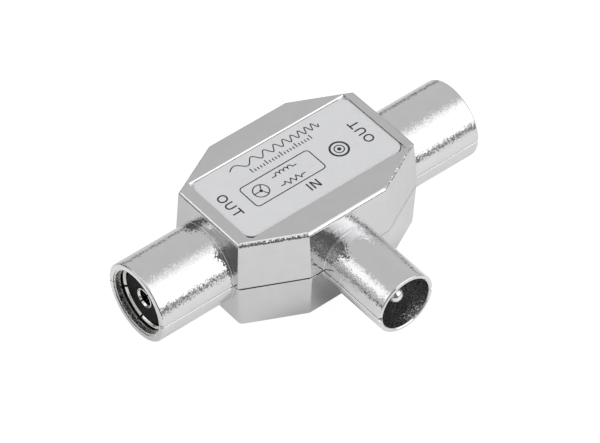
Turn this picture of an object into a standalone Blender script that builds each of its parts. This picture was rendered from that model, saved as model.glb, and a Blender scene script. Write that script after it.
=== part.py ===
"""Coaxial T adapter: two cast half shells, one plug port, two socket ports and the splitter circuit inside.

Metres, +Z up. The origin is the centre of the flat underside. X runs through the two socket ports, and the
plug port points along -Y. Inside a port, depth is measured from the mouth inwards.
"""

import math

import bmesh
import bpy
from mathutils import Matrix, Vector

# Cast body, with its outline taken at the seam between the half shells
BODY_LENGTH = 0.03214
BODY_WIDTH = 0.02308
END_FACE_WIDTH = 0.01388
SIDE_FACE_LENGTH = 0.01386
UPPER_HEIGHT = 0.0082
LOWER_HEIGHT = 0.0077
UPPER_DRAFT = 0.00052
LOWER_DRAFT = 0.00041
UPPER_EDGE_ROUND = 0.00062
LOWER_EDGE_ROUND = 0.00045
UPPER_CORNER_ROUND = 0.00025
LOWER_CORNER_ROUND = 0.0008
CAVITY_CORNER_ROUND = 0.0008
CAVITY_EDGE_ROUND = 0.0004
WALL = 0.0013
ROOF = 0.0019
FLOOR = 0.0014
SEAM_GAP = 0.00008
PORT_FILLET = 0.00015
PORT_ROOT = 0.0008

# Posts that locate the shells on each other and carry the circuit board
POST_RADIUS = 0.0016
POST_SINK = 0.0002
POST_ROOT = 0.00065
LOCATING_PIN_RADIUS = 0.0007
LOCATING_PIN_HEIGHT = 0.0014
LOCATING_PIN_ROOT = 0.0028
LOCATING_PIN_TIP = 0.00025
LOCATING_PIN_CLEARANCE = 0.00008
LEDGE_COVER = 0.00015

# Label
RECESS_LENGTH = 0.0279
RECESS_WIDTH = 0.0135
RECESS_DEPTH = 0.00035
RECESS_SHIFT_X = 0.0002
RECESS_SHIFT_Y = 0.00014
LABEL_MARGIN = 0.00016
LABEL_THICKNESS = 0.00024
LABEL_CORNER = 0.0016

# Socket ports, whose diameters build up from the insulator's nose to the outside of the tube
SOCKET_LENGTH = 0.0122
SOCKET_NOSE_DIAMETER = 0.0080
SOCKET_NOSE_GAP = 0.0005
SLEEVE_BOW = 0.00030
SLEEVE_WALL = 0.00025
SOCKET_TUBE_WALL = 0.00094
SOCKET_MOUTH_STEP = 0.00038
SOCKET_MOUTH_DEPTH = 0.00105
SOCKET_LEAD_IN = 0.0001
SOCKET_RIM_ROUND = 0.0002
SOCKET_FACE_DEPTH = 0.0012
SOCKET_GROOVE_STEP = 0.0003
SOCKET_GROOVE_LENGTH = 0.0016
SOCKET_SHOULDER = 0.0024
SOCKET_HUB_BORE = 0.0066
SLEEVE_FRONT_DEPTH = 0.0008
SLEEVE_FLARE_LENGTH = 0.0006
SLEEVE_RISE_LENGTH = 0.0022
SLEEVE_RING_LENGTH = 0.0020
SLEEVE_FINGERS = 6
SLEEVE_SLOT_WIDTH = 0.00055
CONTACT_BORE = 0.0024
CONTACT_WALL = 0.00035
CONTACT_BORE_DEPTH = 0.0080
CONTACT_DRILL_POINT = 0.0006
CONTACT_PROUD = 0.0001
CONTACT_LEAD_IN = 0.0002
CONTACT_EDGE_CHAMFER = 0.0001
CONTACT_SLOT_WIDTH = 0.00024
CONTACT_SLOT_DEPTH = 0.0058
CONTACT_SLOT_ANGLE = math.radians(33)
COLLAR_STEP = 0.00035
COLLAR_LENGTH = 0.0008

# Plug port
PLUG_LENGTH = 0.0119
PLUG_DIAMETER = 0.0095
PLUG_TUBE_WALL = 0.00064
PLUG_RIM_ROUND = 0.00013
PLUG_LEAD_IN = 0.00012
PLUG_FACE_DEPTH = 0.0090
PLUG_GROOVE_FROM_FACE = 0.0007
PLUG_GROOVE_STEP = 0.00059
PLUG_GROOVE_LENGTH = 0.0013
PLUG_HUB_BORE = 0.0050
SADDLE_WALL = 0.0008
SADDLE_REACH = 0.0020
PIN_DIAMETER = 0.00234
PIN_TIP_DEPTH = 0.0006
PIN_COLLAR_STEP = 0.00043

# Terminals on the board
TAIL_RADIUS = 0.00065
TAIL_LENGTH = 0.0026
TAIL_CHAMFER = 0.00012
HUB_REACH = 0.0003

# Circuit board and what it carries
BOARD_THICKNESS = 0.0010
BOARD_CLEARANCE = 0.0002
CORE_MEAN_RADIUS = 0.00245
CORE_SECTION_RADIUS = 0.00125
CORE_GAP = 0.00105
CORE_SHIFT_Y = 0.0022
WIRE_RADIUS = 0.0002
MATCHING_TURNS = 6
MATCHING_ARC = math.radians(290)
MATCHING_START = math.radians(110)
SPLITTING_TURNS = 4
SPLITTING_ARC = math.radians(150)
SPLITTING_START = math.radians(-75)
RESISTOR_SIZE = (0.0032, 0.0016, 0.00055)
CAPACITOR_SIZE = (0.0020, 0.00125, 0.0008)
CHIP_ROW_Y = -0.0048
CHIP_CAP_LENGTH = 0.00045
CHIP_CAP_THICKNESS = 0.00005

# Fits between the pieces
CLEARANCE = 0.00005

# Facets and helper sizes
TUBE_SEGMENTS = 40
SLEEVE_SEGMENTS = 36
INSULATOR_SEGMENTS = 28
CORE_SEGMENTS = 20
POST_SEGMENTS = 16
PIN_NOSE_STEPS = 6
ARC_STEPS = 3
RIM_STEPS = 2
CORNER_STEPS = 2
LABEL_CORNER_STEPS = 6
CORE_SECTION_SIDES = 8
STEPS_A_TURN = 8
OVERREACH = 0.0010
MERGE = 1e-8
SMOOTH_ANGLE = math.radians(32)
SHELL_SOLVER = "MANIFOLD"

SEAM = LOWER_HEIGHT
POST_FROM_FACE = WALL + POST_RADIUS - POST_SINK
LEDGE_RADIUS = POST_FROM_FACE - LOWER_DRAFT - LEDGE_COVER
SLEEVE_SEAT = SOCKET_NOSE_DIAMETER / 2 + SOCKET_NOSE_GAP + SLEEVE_BOW + SLEEVE_WALL
SOCKET_BORE = 2 * (SLEEVE_SEAT + CLEARANCE)
SOCKET_DIAMETER = SOCKET_BORE + 2 * SOCKET_TUBE_WALL
SOCKET_GROOVE_DIAMETER = SOCKET_BORE + 2 * SOCKET_GROOVE_STEP
CONTACT_DIAMETER = CONTACT_BORE + 2 * CONTACT_WALL
COLLAR_RADIUS = CONTACT_DIAMETER / 2 + COLLAR_STEP
PLUG_BORE = PLUG_DIAMETER - 2 * PLUG_TUBE_WALL
PLUG_GROOVE_DIAMETER = PLUG_BORE + 2 * PLUG_GROOVE_STEP
PLUG_GROOVE_START = PLUG_LENGTH + PLUG_GROOVE_FROM_FACE
SADDLE_DIAMETER = PLUG_GROOVE_DIAMETER + 2 * SADDLE_WALL
PIN_COLLAR_RADIUS = PIN_DIAMETER / 2 + PIN_COLLAR_STEP
SOCKET_WALL_DEPTH = SOCKET_LENGTH + WALL
SOCKET_BORE_DEPTH = SOCKET_WALL_DEPTH - SOCKET_SHOULDER - SOCKET_GROOVE_LENGTH
PLUG_WALL_DEPTH = PLUG_LENGTH + WALL
SOCKET_HUB_DEPTH = SOCKET_WALL_DEPTH + HUB_REACH
PLUG_SADDLE_DEPTH = PLUG_WALL_DEPTH + SADDLE_REACH
PLUG_HUB_DEPTH = PLUG_SADDLE_DEPTH + HUB_REACH
BOARD_TOP = SEAM - TAIL_RADIUS - CLEARANCE
BOARD_UNDERSIDE = BOARD_TOP - BOARD_THICKNESS
CORE_WIND_RADIUS = (CORE_SECTION_RADIUS + WIRE_RADIUS + CLEARANCE) / math.cos(math.pi / STEPS_A_TURN)
CORE_HEIGHT = BOARD_TOP + CORE_WIND_RADIUS + WIRE_RADIUS + CLEARANCE
CORE_SPACING = 2 * (CORE_MEAN_RADIUS + CORE_WIND_RADIUS + WIRE_RADIUS) + CORE_GAP


def clear_scene():
    for thing in list(bpy.data.objects):
        bpy.data.objects.remove(thing, do_unlink=True)


def material(name, colour, roughness, metallic=0.0):
    made = bpy.data.materials.new(name)
    made.use_nodes = True
    shader = made.node_tree.nodes["Principled BSDF"]
    shader.inputs["Base Color"].default_value = (*colour, 1.0)
    shader.inputs["Roughness"].default_value = roughness
    shader.inputs["Metallic"].default_value = metallic
    made.diffuse_color = (*colour, 1.0)
    return made


def add_object(name, shape, finish=None, parent=None):
    """A new object from a bmesh, shaded smooth except at its real edges."""
    bmesh.ops.remove_doubles(shape, verts=shape.verts, dist=MERGE)
    bmesh.ops.recalc_face_normals(shape, faces=shape.faces)
    mesh = bpy.data.meshes.new(name)
    shape.to_mesh(mesh)
    shape.free()
    mesh.shade_smooth()
    mesh.set_sharp_from_angle(angle=SMOOTH_ANGLE)
    if finish:
        mesh.materials.append(finish)
    made = bpy.data.objects.new(name, mesh)
    bpy.context.scene.collection.objects.link(made)
    made.parent = parent
    return made


def helper(name, shape, parent=None):
    """A shape that only cuts or extends another one."""
    made = add_object(name, shape, parent=parent)
    made.hide_render = True
    made.display_type = "WIRE"
    return made


def combine(target, other, operation, solver="EXACT"):
    step = target.modifiers.new(other.name, "BOOLEAN")
    step.operation = operation
    step.solver = solver
    step.object = other


def ring_faces(shape, rings):
    """Skins a row of equal point rings and closes both ends."""
    loops = [[shape.verts.new(point) for point in ring] for ring in rings]
    count = len(loops[0])
    for below, above in zip(loops, loops[1:]):
        for i in range(count):
            j = (i + 1) % count
            shape.faces.new((below[i], below[j], above[j], above[i]))
    shape.faces.new(list(reversed(loops[0])))
    shape.faces.new(loops[-1])


def prism(outline, low, high):
    """A flat outline in X and Y, extruded between two heights."""
    shape = bmesh.new()
    ring_faces(shape, [[(x, y, z) for x, y in outline] for z in (low, high)])
    return shape


def turned(profile, segments=TUBE_SEGMENTS):
    """A profile of (depth, radius) points turned about Z. One that starts off the axis is a closed loop."""
    shape = bmesh.new()
    points = [shape.verts.new((radius, 0.0, depth)) for depth, radius in profile]
    pairs = list(zip(points, points[1:]))
    if profile[0][1] > 0.0:
        pairs.append((points[-1], points[0]))
    edges = [shape.edges.new(pair) for pair in pairs]
    bmesh.ops.spin(
        shape,
        geom=points + edges,
        cent=(0.0, 0.0, 0.0),
        axis=(0.0, 0.0, 1.0),
        angle=2 * math.pi,
        steps=segments,
        use_merge=True,
    )
    return shape


def arc(centre, radius, start, end, steps=ARC_STEPS):
    """(depth, radius) points on an arc, with angles measured from the depth direction."""
    angles = [start + (end - start) * i / steps for i in range(steps + 1)]
    return [(centre[0] + radius * math.cos(a), centre[1] + radius * math.sin(a)) for a in angles]


def inset_corners(corners, inset):
    """Moves every side of an anticlockwise convex outline inwards. Returns (corner, normals) tuples."""
    inner = []
    for i, corner in enumerate(corners):
        arriving = (corner - corners[i - 1]).normalized()
        leaving = (corners[(i + 1) % len(corners)] - corner).normalized()
        first = Vector((-arriving.y, arriving.x))
        second = Vector((-leaving.y, leaving.x))
        mitre = (first + second) / (1.0 + first.dot(second))
        inner.append((corner + mitre * inset, first, second))
    return inner


def rounded(corners, inset, radius, steps=CORNER_STEPS):
    """The outline of a convex shape with its sides moved inwards and its corners rounded."""
    outline = []
    for corner, first, second in inset_corners(corners, inset):
        centre = corner + (first + second) / (1.0 + first.dot(second)) * radius
        turn = first.angle_signed(second)
        for i in range(steps + 1):
            normal = first.copy()
            normal.rotate(Matrix.Rotation(-turn * i / steps, 2))
            outline.append(tuple(centre - normal * radius))
    return outline


def body_corners():
    x, y = BODY_LENGTH / 2, BODY_WIDTH / 2
    end, side = END_FACE_WIDTH / 2, SIDE_FACE_LENGTH / 2
    quarter = [(x, end), (side, y)]
    points = [
        *quarter,
        *[(-px, py) for px, py in reversed(quarter)],
        *[(-px, -py) for px, py in quarter],
        *[(px, -py) for px, py in reversed(quarter)],
    ]
    return [Vector(point) for point in points]


def rectangle_corners(length, width):
    x, y = length / 2, width / 2
    return [Vector(point) for point in ((x, -y), (x, y), (-x, y), (-x, -y))]


def body_rings(direction, height, draft, inset, edge_round, corner_round):
    """Level outlines of one half of the body, from past the seam to its rounded outer edge."""
    straight = height - edge_round
    levels = [(-OVERREACH, inset), (0.0, inset)]
    for i in range(ARC_STEPS + 1):
        angle = math.pi / 2 * i / ARC_STEPS
        shrink = inset + draft * straight / height + edge_round * (1.0 - math.cos(angle))
        levels.append((straight + edge_round * math.sin(angle), shrink))
    rings = []
    for level, shrink in levels:
        outline = rounded(body_corners(), shrink, corner_round)
        rings.append([(x, y, SEAM + direction * level) for x, y in outline])
    return rings


def body_half(direction, height, draft, inset, edge_round, corner_round):
    shape = bmesh.new()
    ring_faces(shape, body_rings(direction, height, draft, inset, edge_round, corner_round))
    return shape


def post_places():
    """Centres of the four posts, a set distance in from the middle of each slanted wall."""
    first, second = body_corners()[:2]
    along = (second - first).normalized()
    centre = (first + second) / 2 + Vector((-along.y, along.x)) * POST_FROM_FACE
    return [(sx * centre.x, sy * centre.y) for sx in (1, -1) for sy in (1, -1)]


def upright(radius, low, high, places, tip=0.0):
    """Round uprights between two heights, one at each place, with a chamfered tip."""
    shape = bmesh.new()
    angles = [2 * math.pi * i / POST_SEGMENTS for i in range(POST_SEGMENTS)]
    levels = [(low, radius), (high - tip, radius)]
    if tip:
        levels.append((high, radius - tip))
    for x, y in places:
        rings = [[(x + r * math.cos(a), y + r * math.sin(a), z) for a in angles] for z, r in levels]
        ring_faces(shape, rings)
    return shape


def port_frame(name, place, rotation):
    """An empty at a port's mouth, with its Z axis pointing into the port."""
    frame = bpy.data.objects.new(name, None)
    frame.location = place
    frame.rotation_euler = rotation
    bpy.context.scene.collection.objects.link(frame)
    return frame


def tube_profile(diameter, length, rim_round):
    """The outside of a port tube, with a rounded rim and a fillet into the body."""
    radius = diameter / 2
    rim = arc((rim_round, radius - rim_round), rim_round, math.pi, math.pi / 2, RIM_STEPS)
    foot = length - PORT_FILLET
    angles = [math.pi / 2 * i / ARC_STEPS for i in range(ARC_STEPS + 1)]
    fillet = [(foot + PORT_FILLET * math.sin(a), radius + PORT_FILLET * (1 - math.cos(a))) for a in angles]
    root = length + PORT_ROOT
    return [(0.0, 0.0), *rim, *fillet, (root, radius + PORT_FILLET), (root, 0.0)]


def socket_bore_profile():
    """A wider mouth, the bore that seats the sleeve, the insulator's groove and the hub's bore."""
    bore, groove, hub = SOCKET_BORE / 2, SOCKET_GROOVE_DIAMETER / 2, SOCKET_HUB_BORE / 2
    mouth = bore + SOCKET_MOUTH_STEP
    groove_end = SOCKET_BORE_DEPTH + SOCKET_GROOVE_LENGTH
    return [
        (-OVERREACH, 0.0),
        (-OVERREACH, mouth + SOCKET_LEAD_IN),
        (0.0, mouth + SOCKET_LEAD_IN),
        (SOCKET_LEAD_IN, mouth),
        (SOCKET_MOUTH_DEPTH, mouth),
        (SOCKET_MOUTH_DEPTH + SOCKET_MOUTH_STEP / 2, bore),
        (SOCKET_BORE_DEPTH, bore),
        (SOCKET_BORE_DEPTH, groove),
        (groove_end, groove),
        (groove_end, hub),
        (SOCKET_WALL_DEPTH + OVERREACH, hub),
        (SOCKET_WALL_DEPTH + OVERREACH, 0.0),
    ]


def plug_bore_profile():
    bore, groove, hub = PLUG_BORE / 2, PLUG_GROOVE_DIAMETER / 2, PLUG_HUB_BORE / 2
    groove_end = PLUG_GROOVE_START + PLUG_GROOVE_LENGTH
    return [
        (-OVERREACH, 0.0),
        (-OVERREACH, bore + PLUG_LEAD_IN),
        (0.0, bore + PLUG_LEAD_IN),
        (PLUG_LEAD_IN, bore),
        (PLUG_GROOVE_START, bore),
        (PLUG_GROOVE_START, groove),
        (groove_end, groove),
        (groove_end, hub),
        (PLUG_SADDLE_DEPTH + OVERREACH, hub),
        (PLUG_SADDLE_DEPTH + OVERREACH, 0.0),
    ]


def saddle_profile():
    """The cast ring inside the front wall that holds the plug port's insulator."""
    start = PLUG_LENGTH + PORT_ROOT / 2
    radius = SADDLE_DIAMETER / 2
    return [(start, 0.0), (start, radius), (PLUG_SADDLE_DEPTH, radius), (PLUG_SADDLE_DEPTH, 0.0)]


def casting_helpers(sockets, plug):
    """What both shells are made from: port tubes and the saddle to add, and the bores to cut."""
    tubes, bores = [], []
    for side, frame in sockets.items():
        outside = tube_profile(SOCKET_DIAMETER, SOCKET_LENGTH, SOCKET_RIM_ROUND)
        tubes.append(helper(f"{side}_tube_form", turned(outside), frame))
        bores.append(helper(f"{side}_bore_cutter", turned(socket_bore_profile()), frame))
    outside = tube_profile(PLUG_DIAMETER, PLUG_LENGTH, PLUG_RIM_ROUND)
    tubes.append(helper("in_tube_form", turned(outside), plug))
    bores.append(helper("in_bore_cutter", turned(plug_bore_profile()), plug))
    saddle = helper("in_saddle_form", turned(saddle_profile()), plug)
    return tubes, saddle, bores


def half_shell(name, direction, finish, forms):
    """One cast half: hollow body, half tubes, saddle and posts, cut flat at the seam."""
    tubes, saddle, bores = forms
    upper = direction > 0
    height, draft = (UPPER_HEIGHT, UPPER_DRAFT) if upper else (LOWER_HEIGHT, LOWER_DRAFT)
    edge_round, corner_round = UPPER_EDGE_ROUND, UPPER_CORNER_ROUND
    if not upper:
        edge_round, corner_round = LOWER_EDGE_ROUND, LOWER_CORNER_ROUND
    depth = height - (ROOF if upper else FLOOR)
    shell = add_object(name, body_half(direction, height, draft, 0.0, edge_round, corner_round), finish)
    for tube in tubes:
        combine(shell, tube, "UNION", SHELL_SOLVER)
    hollow = body_half(direction, depth, draft, WALL, CAVITY_EDGE_ROUND, CAVITY_CORNER_ROUND)
    combine(shell, helper(f"{name}_hollow", hollow), "DIFFERENCE", SHELL_SOLVER)
    combine(shell, saddle, "UNION", SHELL_SOLVER)
    inner_end = SEAM + direction * (depth + POST_ROOT)
    past_seam = SEAM - direction * OVERREACH
    low, high = sorted((inner_end, past_seam))
    posts = upright(POST_RADIUS, low, high, post_places())
    combine(shell, helper(f"{name}_posts", posts), "UNION", SHELL_SOLVER)
    if not upper:
        top = BOARD_UNDERSIDE - CLEARANCE
        ledges = upright(LEDGE_RADIUS, FLOOR - POST_ROOT, top, post_places())
        combine(shell, helper("board_ledges", ledges), "UNION", SHELL_SOLVER)
    face = SEAM + direction * SEAM_GAP / 2
    far = SEAM - direction * (UPPER_HEIGHT + LOWER_HEIGHT)
    low, high = sorted((face, far))
    reach = 2 * (BODY_LENGTH + SOCKET_LENGTH + PLUG_LENGTH)
    trim = prism([tuple(c) for c in rectangle_corners(reach, reach)], low, high)
    combine(shell, helper(f"{name}_seam_cutter", trim), "DIFFERENCE", SHELL_SOLVER)
    if upper:
        cut_locating_holes(shell)
        cut_label_recess(shell)
    else:
        add_locating_pins(shell)
    for bore in bores:
        combine(shell, bore, "DIFFERENCE", SHELL_SOLVER)


def add_locating_pins(shell):
    root = SEAM - LOCATING_PIN_ROOT
    pins = upright(LOCATING_PIN_RADIUS, root, SEAM + LOCATING_PIN_HEIGHT, post_places(), LOCATING_PIN_TIP)
    combine(shell, helper("locating_pins", pins), "UNION", SHELL_SOLVER)


def cut_locating_holes(shell):
    radius = LOCATING_PIN_RADIUS + LOCATING_PIN_CLEARANCE
    end = SEAM + LOCATING_PIN_HEIGHT + LOCATING_PIN_CLEARANCE
    holes = upright(radius, SEAM - OVERREACH, end, post_places())
    combine(shell, helper("locating_holes", holes), "DIFFERENCE", SHELL_SOLVER)


def shifted(corners, x, y):
    return [corner + Vector((x, y)) for corner in corners]


def recess_corners():
    return shifted(rectangle_corners(RECESS_LENGTH, RECESS_WIDTH), RECESS_SHIFT_X, RECESS_SHIFT_Y)


def cut_label_recess(shell):
    corners = recess_corners()
    top = SEAM + UPPER_HEIGHT
    recess = prism([tuple(c) for c in corners], top - RECESS_DEPTH, top + OVERREACH)
    combine(shell, helper("label_recess", recess), "DIFFERENCE", SHELL_SOLVER)


def label_plate(finish):
    corners = recess_corners()
    outline = rounded(corners, LABEL_MARGIN, LABEL_CORNER, LABEL_CORNER_STEPS)
    low = SEAM + UPPER_HEIGHT - RECESS_DEPTH + CLEARANCE
    add_object("label_plate", prism(outline, low, low + LABEL_THICKNESS), finish)


def socket_insulator(name, frame, finish):
    nose, hub = SOCKET_NOSE_DIAMETER / 2, SOCKET_HUB_BORE / 2 - CLEARANCE
    flange = SOCKET_GROOVE_DIAMETER / 2 - CLEARANCE
    flange_start = SOCKET_BORE_DEPTH + CLEARANCE
    flange_end = SOCKET_BORE_DEPTH + SOCKET_GROOVE_LENGTH - CLEARANCE
    hole, counterbore = CONTACT_DIAMETER / 2 + CLEARANCE, COLLAR_RADIUS + CLEARANCE
    step = SOCKET_HUB_DEPTH - COLLAR_LENGTH - 2 * CLEARANCE
    edge = CONTACT_EDGE_CHAMFER
    profile = [
        (SOCKET_FACE_DEPTH, hole),
        (SOCKET_FACE_DEPTH, nose - edge),
        (SOCKET_FACE_DEPTH + edge, nose),
        (flange_start, nose),
        (flange_start, flange),
        (flange_end, flange),
        (flange_end, hub),
        (SOCKET_HUB_DEPTH, hub),
        (SOCKET_HUB_DEPTH, counterbore),
        (step, counterbore),
        (step, hole),
    ]
    add_object(name, turned(profile, INSULATOR_SEGMENTS), finish, frame)


def tail_profile(hub_depth):
    """The soldering tail behind a centre conductor's collar."""
    end = hub_depth + TAIL_LENGTH
    collar_end = hub_depth - CLEARANCE
    return [
        (collar_end, TAIL_RADIUS),
        (end - TAIL_CHAMFER, TAIL_RADIUS),
        (end, TAIL_RADIUS - TAIL_CHAMFER),
        (end, 0.0),
    ]


def contact(name, frame, finish):
    outer, bore = CONTACT_DIAMETER / 2, CONTACT_BORE / 2
    front = SOCKET_FACE_DEPTH - CONTACT_PROUD
    bottom = front + CONTACT_BORE_DEPTH
    collar_start = SOCKET_HUB_DEPTH - CLEARANCE - COLLAR_LENGTH
    edge = CONTACT_EDGE_CHAMFER
    profile = [
        (bottom + CONTACT_DRILL_POINT, 0.0),
        (bottom, bore),
        (front + CONTACT_LEAD_IN, bore),
        (front, bore + CONTACT_LEAD_IN),
        (front, outer - edge),
        (front + edge, outer),
        (collar_start, outer),
        (collar_start, COLLAR_RADIUS),
        (SOCKET_HUB_DEPTH - CLEARANCE, COLLAR_RADIUS),
        *tail_profile(SOCKET_HUB_DEPTH),
    ]
    made = add_object(name, turned(profile, CORE_SEGMENTS), finish, frame)
    across = [tuple(c) for c in rectangle_corners(2 * CONTACT_DIAMETER, CONTACT_SLOT_WIDTH)]
    slot = helper(f"{name}_slot", prism(across, front - OVERREACH, front + CONTACT_SLOT_DEPTH), frame)
    slot.rotation_euler.z = CONTACT_SLOT_ANGLE
    combine(made, slot, "DIFFERENCE")


def spring_sleeve(name, frame, finish):
    """A thin sleeve whose fingers bow inwards to grip a plug's outer tube and flare out at the mouth."""
    rear = SOCKET_BORE_DEPTH
    root = rear - SLEEVE_RING_LENGTH
    front = SLEEVE_FRONT_DEPTH
    line = [
        (rear, SLEEVE_SEAT),
        (root, SLEEVE_SEAT),
        (root - SLEEVE_RISE_LENGTH / 2, SLEEVE_SEAT - SLEEVE_BOW / 2),
        (root - SLEEVE_RISE_LENGTH, SLEEVE_SEAT - SLEEVE_BOW),
        (front + SLEEVE_FLARE_LENGTH, SLEEVE_SEAT - SLEEVE_BOW),
        (front + SLEEVE_FLARE_LENGTH / 2, SLEEVE_SEAT - 0.75 * SLEEVE_BOW),
        (front, SLEEVE_SEAT),
    ]
    profile = [*line, *[(depth, radius - SLEEVE_WALL) for depth, radius in reversed(line)]]
    made = add_object(name, turned(profile, SLEEVE_SEGMENTS), finish, frame)
    slots = bmesh.new()
    for i in range(SLEEVE_FINGERS):
        turn = Matrix.Rotation(2 * math.pi * (i + 0.5) / SLEEVE_FINGERS, 3, "Z")
        corners = shifted(rectangle_corners(SLEEVE_SEAT, SLEEVE_SLOT_WIDTH), SLEEVE_SEAT, 0.0)
        levels = (SLEEVE_FRONT_DEPTH - OVERREACH, root)
        ring_faces(slots, [[turn @ Vector((*c, z)) for c in corners] for z in levels])
    combine(made, helper(f"{name}_slots", slots, frame), "DIFFERENCE")


def plug_insulator(name, frame, finish):
    front, hub = PLUG_BORE / 2 - CLEARANCE, PLUG_HUB_BORE / 2 - CLEARANCE
    flange = PLUG_GROOVE_DIAMETER / 2 - CLEARANCE
    flange_start = PLUG_GROOVE_START + CLEARANCE
    flange_end = PLUG_GROOVE_START + PLUG_GROOVE_LENGTH - CLEARANCE
    hole, counterbore = PIN_DIAMETER / 2 + CLEARANCE, PIN_COLLAR_RADIUS + CLEARANCE
    step = PLUG_HUB_DEPTH - COLLAR_LENGTH - 2 * CLEARANCE
    profile = [
        (PLUG_FACE_DEPTH, hole),
        (PLUG_FACE_DEPTH, front),
        (flange_start, front),
        (flange_start, flange),
        (flange_end, flange),
        (flange_end, hub),
        (PLUG_HUB_DEPTH, hub),
        (PLUG_HUB_DEPTH, counterbore),
        (step, counterbore),
        (step, hole),
    ]
    add_object(name, turned(profile, INSULATOR_SEGMENTS), finish, frame)


def plug_pin(name, frame, finish):
    radius = PIN_DIAMETER / 2
    nose = arc((PIN_TIP_DEPTH + radius, 0.0), radius, math.pi, math.pi / 2, PIN_NOSE_STEPS)
    nose[0] = (PIN_TIP_DEPTH, 0.0)
    collar_start = PLUG_HUB_DEPTH - CLEARANCE - COLLAR_LENGTH
    profile = [
        *nose,
        (collar_start, radius),
        (collar_start, PIN_COLLAR_RADIUS),
        (PLUG_HUB_DEPTH - CLEARANCE, PIN_COLLAR_RADIUS),
        *tail_profile(PLUG_HUB_DEPTH),
    ]
    add_object(name, turned(profile, CORE_SEGMENTS), finish, frame)


def circuit_board(finish):
    """The board follows the walls, with room for the posts and for the plug port's saddle."""
    inset = WALL + LOWER_DRAFT + HUB_REACH + BOARD_CLEARANCE
    outline = rounded(body_corners(), inset, CAVITY_CORNER_ROUND)
    board = add_object("circuit_board", prism(outline, BOARD_UNDERSIDE, BOARD_TOP), finish)
    low, high = BOARD_UNDERSIDE - OVERREACH, BOARD_TOP + OVERREACH
    notches = upright(POST_RADIUS + BOARD_CLEARANCE, low, high, post_places())
    combine(board, helper("post_notches", notches), "DIFFERENCE")
    width = SADDLE_DIAMETER + 2 * BOARD_CLEARANCE
    edge = -BODY_WIDTH / 2 - PLUG_LENGTH + PLUG_HUB_DEPTH + BOARD_CLEARANCE
    corners = shifted(rectangle_corners(width, BODY_WIDTH), 0.0, edge - BODY_WIDTH / 2)
    combine(board, helper("saddle_notch", prism([tuple(c) for c in corners], low, high)), "DIFFERENCE")


def ring_core(name, x, finish):
    """A ferrite ring whose chamfered section lies inside the winding's circle."""
    radius = CORE_SECTION_RADIUS
    angles = [2 * math.pi * (i + 0.5) / CORE_SECTION_SIDES for i in range(CORE_SECTION_SIDES)]
    section = [(radius * math.sin(a), CORE_MEAN_RADIUS + radius * math.cos(a)) for a in angles]
    made = add_object(name, turned(section, CORE_SEGMENTS), finish)
    made.location = (x, CORE_SHIFT_Y, CORE_HEIGHT)


def winding(name, x, start, arc_angle, turns, finish):
    """Enamelled wire that rises beside the core, winds round its section and goes down inside the ring."""
    steps = STEPS_A_TURN * turns + STEPS_A_TURN // 2
    points = []
    for i in range(steps + 1):
        wound = (2 * math.pi * turns + math.pi) * i / steps
        around = start + arc_angle * i / steps
        reach = CORE_MEAN_RADIUS + CORE_WIND_RADIUS * math.cos(wound)
        height = CORE_HEIGHT + CORE_WIND_RADIUS * math.sin(wound)
        points.append((reach * math.cos(around), reach * math.sin(around), height))
    pad = BOARD_TOP + CLEARANCE
    points = [(points[0][0], points[0][1], pad), *points, (points[-1][0], points[-1][1], pad)]
    curve = bpy.data.curves.new(name, "CURVE")
    curve.dimensions = "3D"
    curve.bevel_depth = WIRE_RADIUS
    curve.bevel_resolution = 1
    curve.use_fill_caps = True
    line = curve.splines.new("POLY")
    line.points.add(len(points) - 1)
    for node, point in zip(line.points, points):
        node.co = (*point, 1.0)
    curve.materials.append(finish)
    made = bpy.data.objects.new(name, curve)
    made.location = (x, CORE_SHIFT_Y, 0.0)
    bpy.context.scene.collection.objects.link(made)


def chip(name, size, x, y, turn, finish):
    """A chip part: a ceramic block between two slightly thicker metal caps."""
    length, width, height = size
    end, body = length / 2, length / 2 - CHIP_CAP_LENGTH
    low, high = CHIP_CAP_THICKNESS, height - CHIP_CAP_THICKNESS
    side = [(-end, 0.0), (-body, 0.0), (-body, low), (body, low), (body, 0.0), (end, 0.0)]
    side += [(end, height), (body, height), (body, high), (-body, high), (-body, height), (-end, height)]
    shape = bmesh.new()
    ring_faces(shape, [[(px, py, pz) for px, pz in side] for py in (-width / 2, width / 2)])
    made = add_object(name, shape, finish)
    made.location = (x, y, BOARD_TOP + CLEARANCE)
    made.rotation_euler.z = turn


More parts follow.
